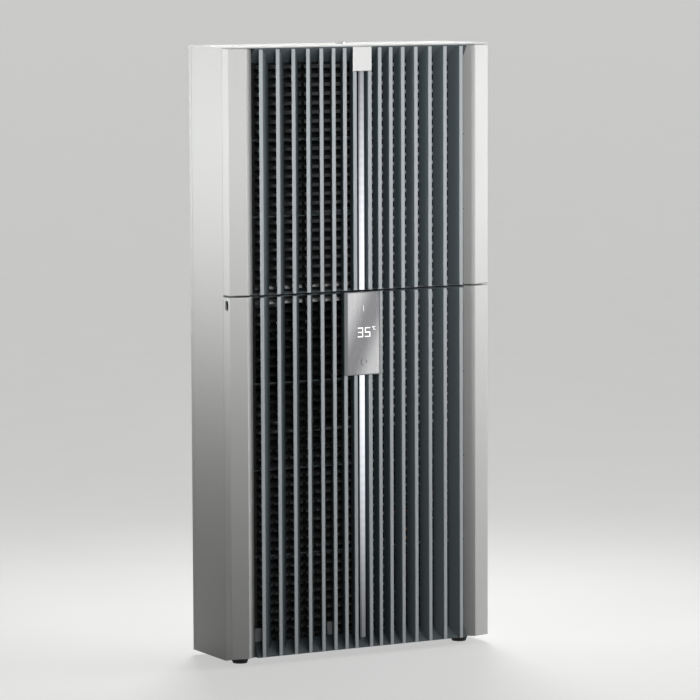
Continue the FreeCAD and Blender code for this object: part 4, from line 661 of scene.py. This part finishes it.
class COOLINGUNIT_OT_display(bpy.types.Operator):
    """Finish the display and draw its temperature, degree mark, tick and touch sign"""

    bl_idname = "cooling_unit.draw_display"
    bl_label = "Draw the display"

    def execute(self, context):
        colours = context.scene.cooling_unit_colours
        sizes = context.scene.cooling_unit_sizes
        low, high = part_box("display_window")
        dress(half_mirrored_glass(colours, low, high), "display_window")
        dress(anodised_aluminium(colours), "display_bezel")
        face = low.y
        middle_x = (low.x + high.x) / 2
        middle_z = (low.z + high.z) / 2 + sizes.figure_rise
        form = bmesh.new()
        self.draw_figures(form, sizes, face, middle_x + sizes.figure_shift, middle_z)
        self.draw_unit(form, sizes, face, middle_x + sizes.figure_shift, middle_z)
        self.draw_tick(form, sizes, face, middle_x, middle_z)
        mesh_piece("display_figures", form, lit_figures(colours), "lower_front")
        form = bmesh.new()
        self.draw_sign(form, sizes, face, middle_x, middle_z)
        mesh_piece("display_signs", form, printed_signs(colours), "lower_front")
        return {"FINISHED"}

    def draw_figures(self, form, sizes, face, middle_x, middle_z):
        """The figures three and five, each as one outline of square strokes."""
        wide, tall, stroke = sizes.figure_width, sizes.figure_height, sizes.figure_stroke
        waist = ((tall - stroke) / 2, (tall + stroke) / 2)
        three = [(0, tall), (0, tall - stroke), (wide - stroke, tall - stroke), (wide - stroke, waist[1]),
                 (stroke / 2, waist[1]), (stroke / 2, waist[0]), (wide - stroke, waist[0]),
                 (wide - stroke, stroke), (0, stroke), (0, 0), (wide, 0), (wide, tall)]
        five = [(0, tall), (0, waist[0]), (wide - stroke, waist[0]), (wide - stroke, stroke), (0, stroke),
                (0, 0), (wide, 0), (wide, waist[1]), (stroke, waist[1]), (stroke, tall - stroke),
                (wide, tall - stroke), (wide, tall)]
        left = middle_x - wide - sizes.figure_gap / 2
        for outline, start in ((three, left), (five, left + wide + sizes.figure_gap)):
            placed = [(start + x, middle_z - tall / 2 + z) for x, z in outline]
            add_outline(form, placed, face, sizes.figure_relief, sizes.figure_round)

    def draw_unit(self, form, sizes, face, middle_x, middle_z):
        """A small degree ring and an open letter beside the figures' tops."""
        stroke, tall, wide, ring = sizes.unit_stroke, sizes.unit_height, sizes.unit_width, sizes.unit_ring
        left = middle_x + sizes.figure_gap / 2 + sizes.figure_width + sizes.unit_gap + ring
        foot = middle_z + sizes.figure_height / 2 + sizes.unit_rise - tall
        letter = [(wide, tall), (0, tall), (0, 0), (wide, 0), (wide, stroke), (stroke, stroke),
                  (stroke, tall - stroke), (wide, tall - stroke)]
        start = left + ring + stroke
        placed = [(start + x, foot + z) for x, z in letter]
        add_outline(form, placed, face, sizes.figure_relief, rounding=stroke / 4)
        for turn in (0, 180):
            arc = ring_arc((left, foot + tall - ring), ring, stroke, turn, turn + 180)
            add_outline(form, arc, face, sizes.figure_relief)

    def draw_tick(self, form, sizes, face, middle_x, middle_z):
        """A lit upright tick over the figures."""
        half = sizes.tick_stroke / 2
        low = middle_z + sizes.tick_rise - sizes.tick_height / 2
        tick = [(middle_x - half, low), (middle_x + half, low), (middle_x + half, low + sizes.tick_height),
                (middle_x - half, low + sizes.tick_height)]
        add_outline(form, tick, face, sizes.figure_relief, rounding=half / 2)

    def draw_sign(self, form, sizes, face, middle_x, middle_z):
        """An open ring under the figures."""
        centre = (middle_x, middle_z - sizes.sign_drop)
        for start, end in SIGN_ARCS:
            arc = ring_arc(centre, sizes.sign_radius, sizes.sign_stroke, start, end)
            add_outline(form, arc, face, sizes.figure_relief)


class COOLINGUNIT_OT_screws(bpy.types.Operator):
    """Add the screws that hold the rear panel, along its two long sides"""

    bl_idname = "cooling_unit.add_screws"
    bl_label = "Add the rear screws"

    def execute(self, context):
        sizes = context.scene.cooling_unit_sizes
        low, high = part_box("rear_panel")
        pitch = (high.z - low.z - 2 * sizes.screw_margin) / (sizes.screw_rows - 1)
        form = bmesh.new()
        for row in range(sizes.screw_rows):
            height = low.z + sizes.screw_margin + pitch * row
            for x in (low.x + sizes.screw_inset, high.x - sizes.screw_inset):
                self.add_screw(form, sizes, Vector((x, high.y, height)))
        finish = zinc_plated_steel(context.scene.cooling_unit_colours)
        mesh_piece("rear_screws", form, finish, "housing")
        return {"FINISHED"}

    def add_screw(self, form, sizes, foot, points=24):
        """A pan head with a six-sided socket, turned about the rear face's normal."""
        tall = sizes.screw_height
        side = math.pi / 3
        turns = [2 * math.pi * point / points for point in range(points)]
        socket = [sizes.screw_socket / math.cos(turn % side - side / 2) for turn in turns]
        levels = [([sizes.screw_radius * wide] * points, tall * out) for wide, out in HEAD_OUTLINE]
        levels += [(socket, tall), (socket, tall * SOCKET_FLOOR)]
        rings = []
        for reaches, out in levels:
            spots = [(reach * math.cos(turn), out, reach * math.sin(turn))
                     for reach, turn in zip(reaches, turns)]
            rings.append([form.verts.new(foot + Vector(spot)) for spot in spots])
        for below, above in zip(rings, rings[1:]):
            for point in range(points):
                after = (point + 1) % points
                form.faces.new((below[point], below[after], above[after], above[point]))
        form.faces.new(rings[0])
        form.faces.new(rings[-1])


class COOLINGUNIT_OT_contacts(bpy.types.Operator):
    """Add the pins of the power inlet and the tongue of the service socket"""

    bl_idname = "cooling_unit.add_contacts"
    bl_label = "Add the contacts"

    def execute(self, context):
        sizes = context.scene.cooling_unit_sizes
        colours = context.scene.cooling_unit_colours
        openings = {item["name"]: [Vector(corner) for corner in item["box_m"]]
                    for item in frame["record"]["physics"]["openings"]}
        low, high = openings["power_socket"]
        middle = (low + high) / 2
        half = Vector((sizes.pin_wall, 0, sizes.pin_width)) / 2
        form = bmesh.new()
        for step in (-1, 0, 1):
            x = middle.x + step * sizes.pin_pitch
            root = Vector((x, low.y - sizes.contact_root, middle.z))
            tip = Vector((x, low.y + sizes.pin_length, middle.z))
            add_block(form, root - half, tip + half, sizes.edge_round)
        mesh_piece("power_pins", form, zinc_plated_steel(colours), "housing")
        low, high = openings["service_socket"]
        middle = (low + high) / 2
        half = Vector((0, sizes.tongue_wall, sizes.tongue_height)) / 2
        tip = Vector((high.x - sizes.tongue_length, middle.y, middle.z))
        root = Vector((high.x + sizes.contact_root, middle.y, middle.z))
        form = bmesh.new()
        add_block(form, tip - half, root + half, sizes.edge_round)
        mesh_piece("service_tongue", form, moulded_black_abs(colours), "lower_front")
        return {"FINISHED"}


class COOLINGUNIT_OT_stage(bpy.types.Operator):
    """Set the pale floor, the soft lamps and the camera"""

    bl_idname = "cooling_unit.set_stage"
    bl_label = "Set the stage"

    def execute(self, context):
        scene = context.scene
        stage = scene.cooling_unit_stage
        scene.view_settings.view_transform = "Standard"
        self.lay_floor(scene, stage)
        self.light_world(scene, stage)
        for softbox in SOFTBOXES:
            self.hang_softbox(scene, softbox, getattr(stage, softbox["power"]))
        self.place_camera(scene, stage)
        return {"FINISHED"}

    def lay_floor(self, scene, stage):
        """A plain floor that reaches the horizon, so that every side view has the same ground."""
        form = bmesh.new()
        bmesh.ops.create_grid(form, x_segments=1, y_segments=1, size=FLOOR_HALF)
        mesh = bpy.data.meshes.new("studio_floor")
        form.to_mesh(mesh)
        form.free()
        floor = bpy.data.objects.new("studio_floor", mesh)
        scene.collection.objects.link(floor)
        mesh.materials.append(self.pale_matt_paint(scene.cooling_unit_colours, stage))

    def pale_matt_paint(self, colours, stage):
        """Pale matt paint that keeps the shadow and sends little light back up."""
        finish, tree, shader = new_finish("pale_matt_paint", {"Emission Color": toned(colours.surround)})
        grain(tree, shader, colours.floor, grain_mm=4.0, relief_mm=0.02, roughness=(0.7, 0.85), tone=0.01)
        shown = add_node(tree, "ShaderNodeMath", {"operation": "MULTIPLY"}, {1: stage.floor_show},
                         {0: seen_rays(tree)})
        tree.links.new(shown.outputs["Value"], shader.inputs["Emission Strength"])
        return finish

    def light_world(self, scene, stage):
        """Even surround light, with a pale background for the camera, gloss and glass."""
        world = bpy.data.worlds.new("studio_surround")
        world.use_nodes = True
        tree = world.node_tree
        tree.nodes.clear()
        strength = add_node(tree, "ShaderNodeMapRange",
                            sockets={"To Min": stage.ambient, "To Max": stage.backdrop},
                            links={"Value": seen_rays(tree)})
        surround = add_node(tree, "ShaderNodeBackground",
                            sockets={"Color": toned(scene.cooling_unit_colours.surround)},
                            links={"Strength": strength.outputs["Result"]})
        add_node(tree, "ShaderNodeOutputWorld", links={"Surface": surround.outputs["Background"]})
        scene.world = world

    def hang_softbox(self, scene, softbox, watts):
        """A rectangular lamp that faces a point on the unit."""
        lamp = bpy.data.lights.new(softbox["name"], "AREA")
        lamp.shape = "RECTANGLE"
        lamp.size, lamp.size_y = softbox["size"]
        lamp.spread = math.radians(softbox["beam"])
        lamp.energy = watts
        place = Vector(softbox["place"])
        box = bpy.data.objects.new(softbox["name"], lamp)
        box.location = place
        box.rotation_euler = (Vector(softbox["target"]) - place).to_track_quat("-Z", "Y").to_euler()
        box.visible_camera = False
        box.visible_glossy = softbox["mirrored"]
        scene.collection.objects.link(box)

    def place_camera(self, scene, stage):
        """The photograph's view, from the left of straight on."""
        lens = bpy.data.cameras.new("view")
        lens.lens = stage.camera_lens
        lens.sensor_width = SENSOR_WIDTH
        lens.clip_end = VIEW_REACH
        camera = bpy.data.objects.new("view", lens)
        turn = (Matrix.Rotation(-stage.camera_heading, 4, "Z")
                @ Matrix.Rotation(math.pi / 2 - stage.camera_tilt, 4, "X")
                @ Matrix.Rotation(stage.camera_roll, 4, "Z"))
        camera.matrix_world = Matrix.Translation(stage.camera_place) @ turn
        scene.collection.objects.link(camera)
        scene.camera = camera


class COOLINGUNIT_PT_looks(bpy.types.Panel):
    """Lists the steps and the values that they use"""

    bl_idname = "COOLINGUNIT_PT_looks"
    bl_label = "Cooling unit"
    bl_space_type = "VIEW_3D"
    bl_region_type = "UI"
    bl_category = "Cooling unit"

    def draw(self, context):
        for step in STEPS:
            self.layout.operator(step.bl_idname)
        for group in (context.scene.cooling_unit_colours, context.scene.cooling_unit_sizes,
                      context.scene.cooling_unit_stage):
            column = self.layout.column(align=True)
            for name in group.bl_rna.properties.keys():
                if name not in ("name", "rna_type"):
                    column.prop(group, name)


GROUPS = (CoolingUnitColours, CoolingUnitSizes, CoolingUnitStage)
STEPS = (COOLINGUNIT_OT_housing, COOLINGUNIT_OT_covers, COOLINGUNIT_OT_lights, COOLINGUNIT_OT_circuit,
         COOLINGUNIT_OT_display, COOLINGUNIT_OT_screws, COOLINGUNIT_OT_contacts, COOLINGUNIT_OT_stage)
CLASSES = GROUPS + STEPS + (COOLINGUNIT_PT_looks,)


def register():
    for item in CLASSES:
        bpy.utils.register_class(item)
    bpy.types.Scene.cooling_unit_colours = PointerProperty(type=CoolingUnitColours)
    bpy.types.Scene.cooling_unit_sizes = PointerProperty(type=CoolingUnitSizes)
    bpy.types.Scene.cooling_unit_stage = PointerProperty(type=CoolingUnitStage)


def unregister():
    del bpy.types.Scene.cooling_unit_stage
    del bpy.types.Scene.cooling_unit_sizes
    del bpy.types.Scene.cooling_unit_colours
    for item in reversed(CLASSES):
        bpy.utils.unregister_class(item)


def main():
    register()
    bpy.ops.cooling_unit.finish_housing()
    bpy.ops.cooling_unit.finish_covers()
    bpy.ops.cooling_unit.light_strips()
    bpy.ops.cooling_unit.finish_circuit()
    bpy.ops.cooling_unit.draw_display()
    bpy.ops.cooling_unit.add_screws()
    bpy.ops.cooling_unit.add_contacts()
    bpy.ops.cooling_unit.set_stage()


if __name__ == "__main__":
    main()
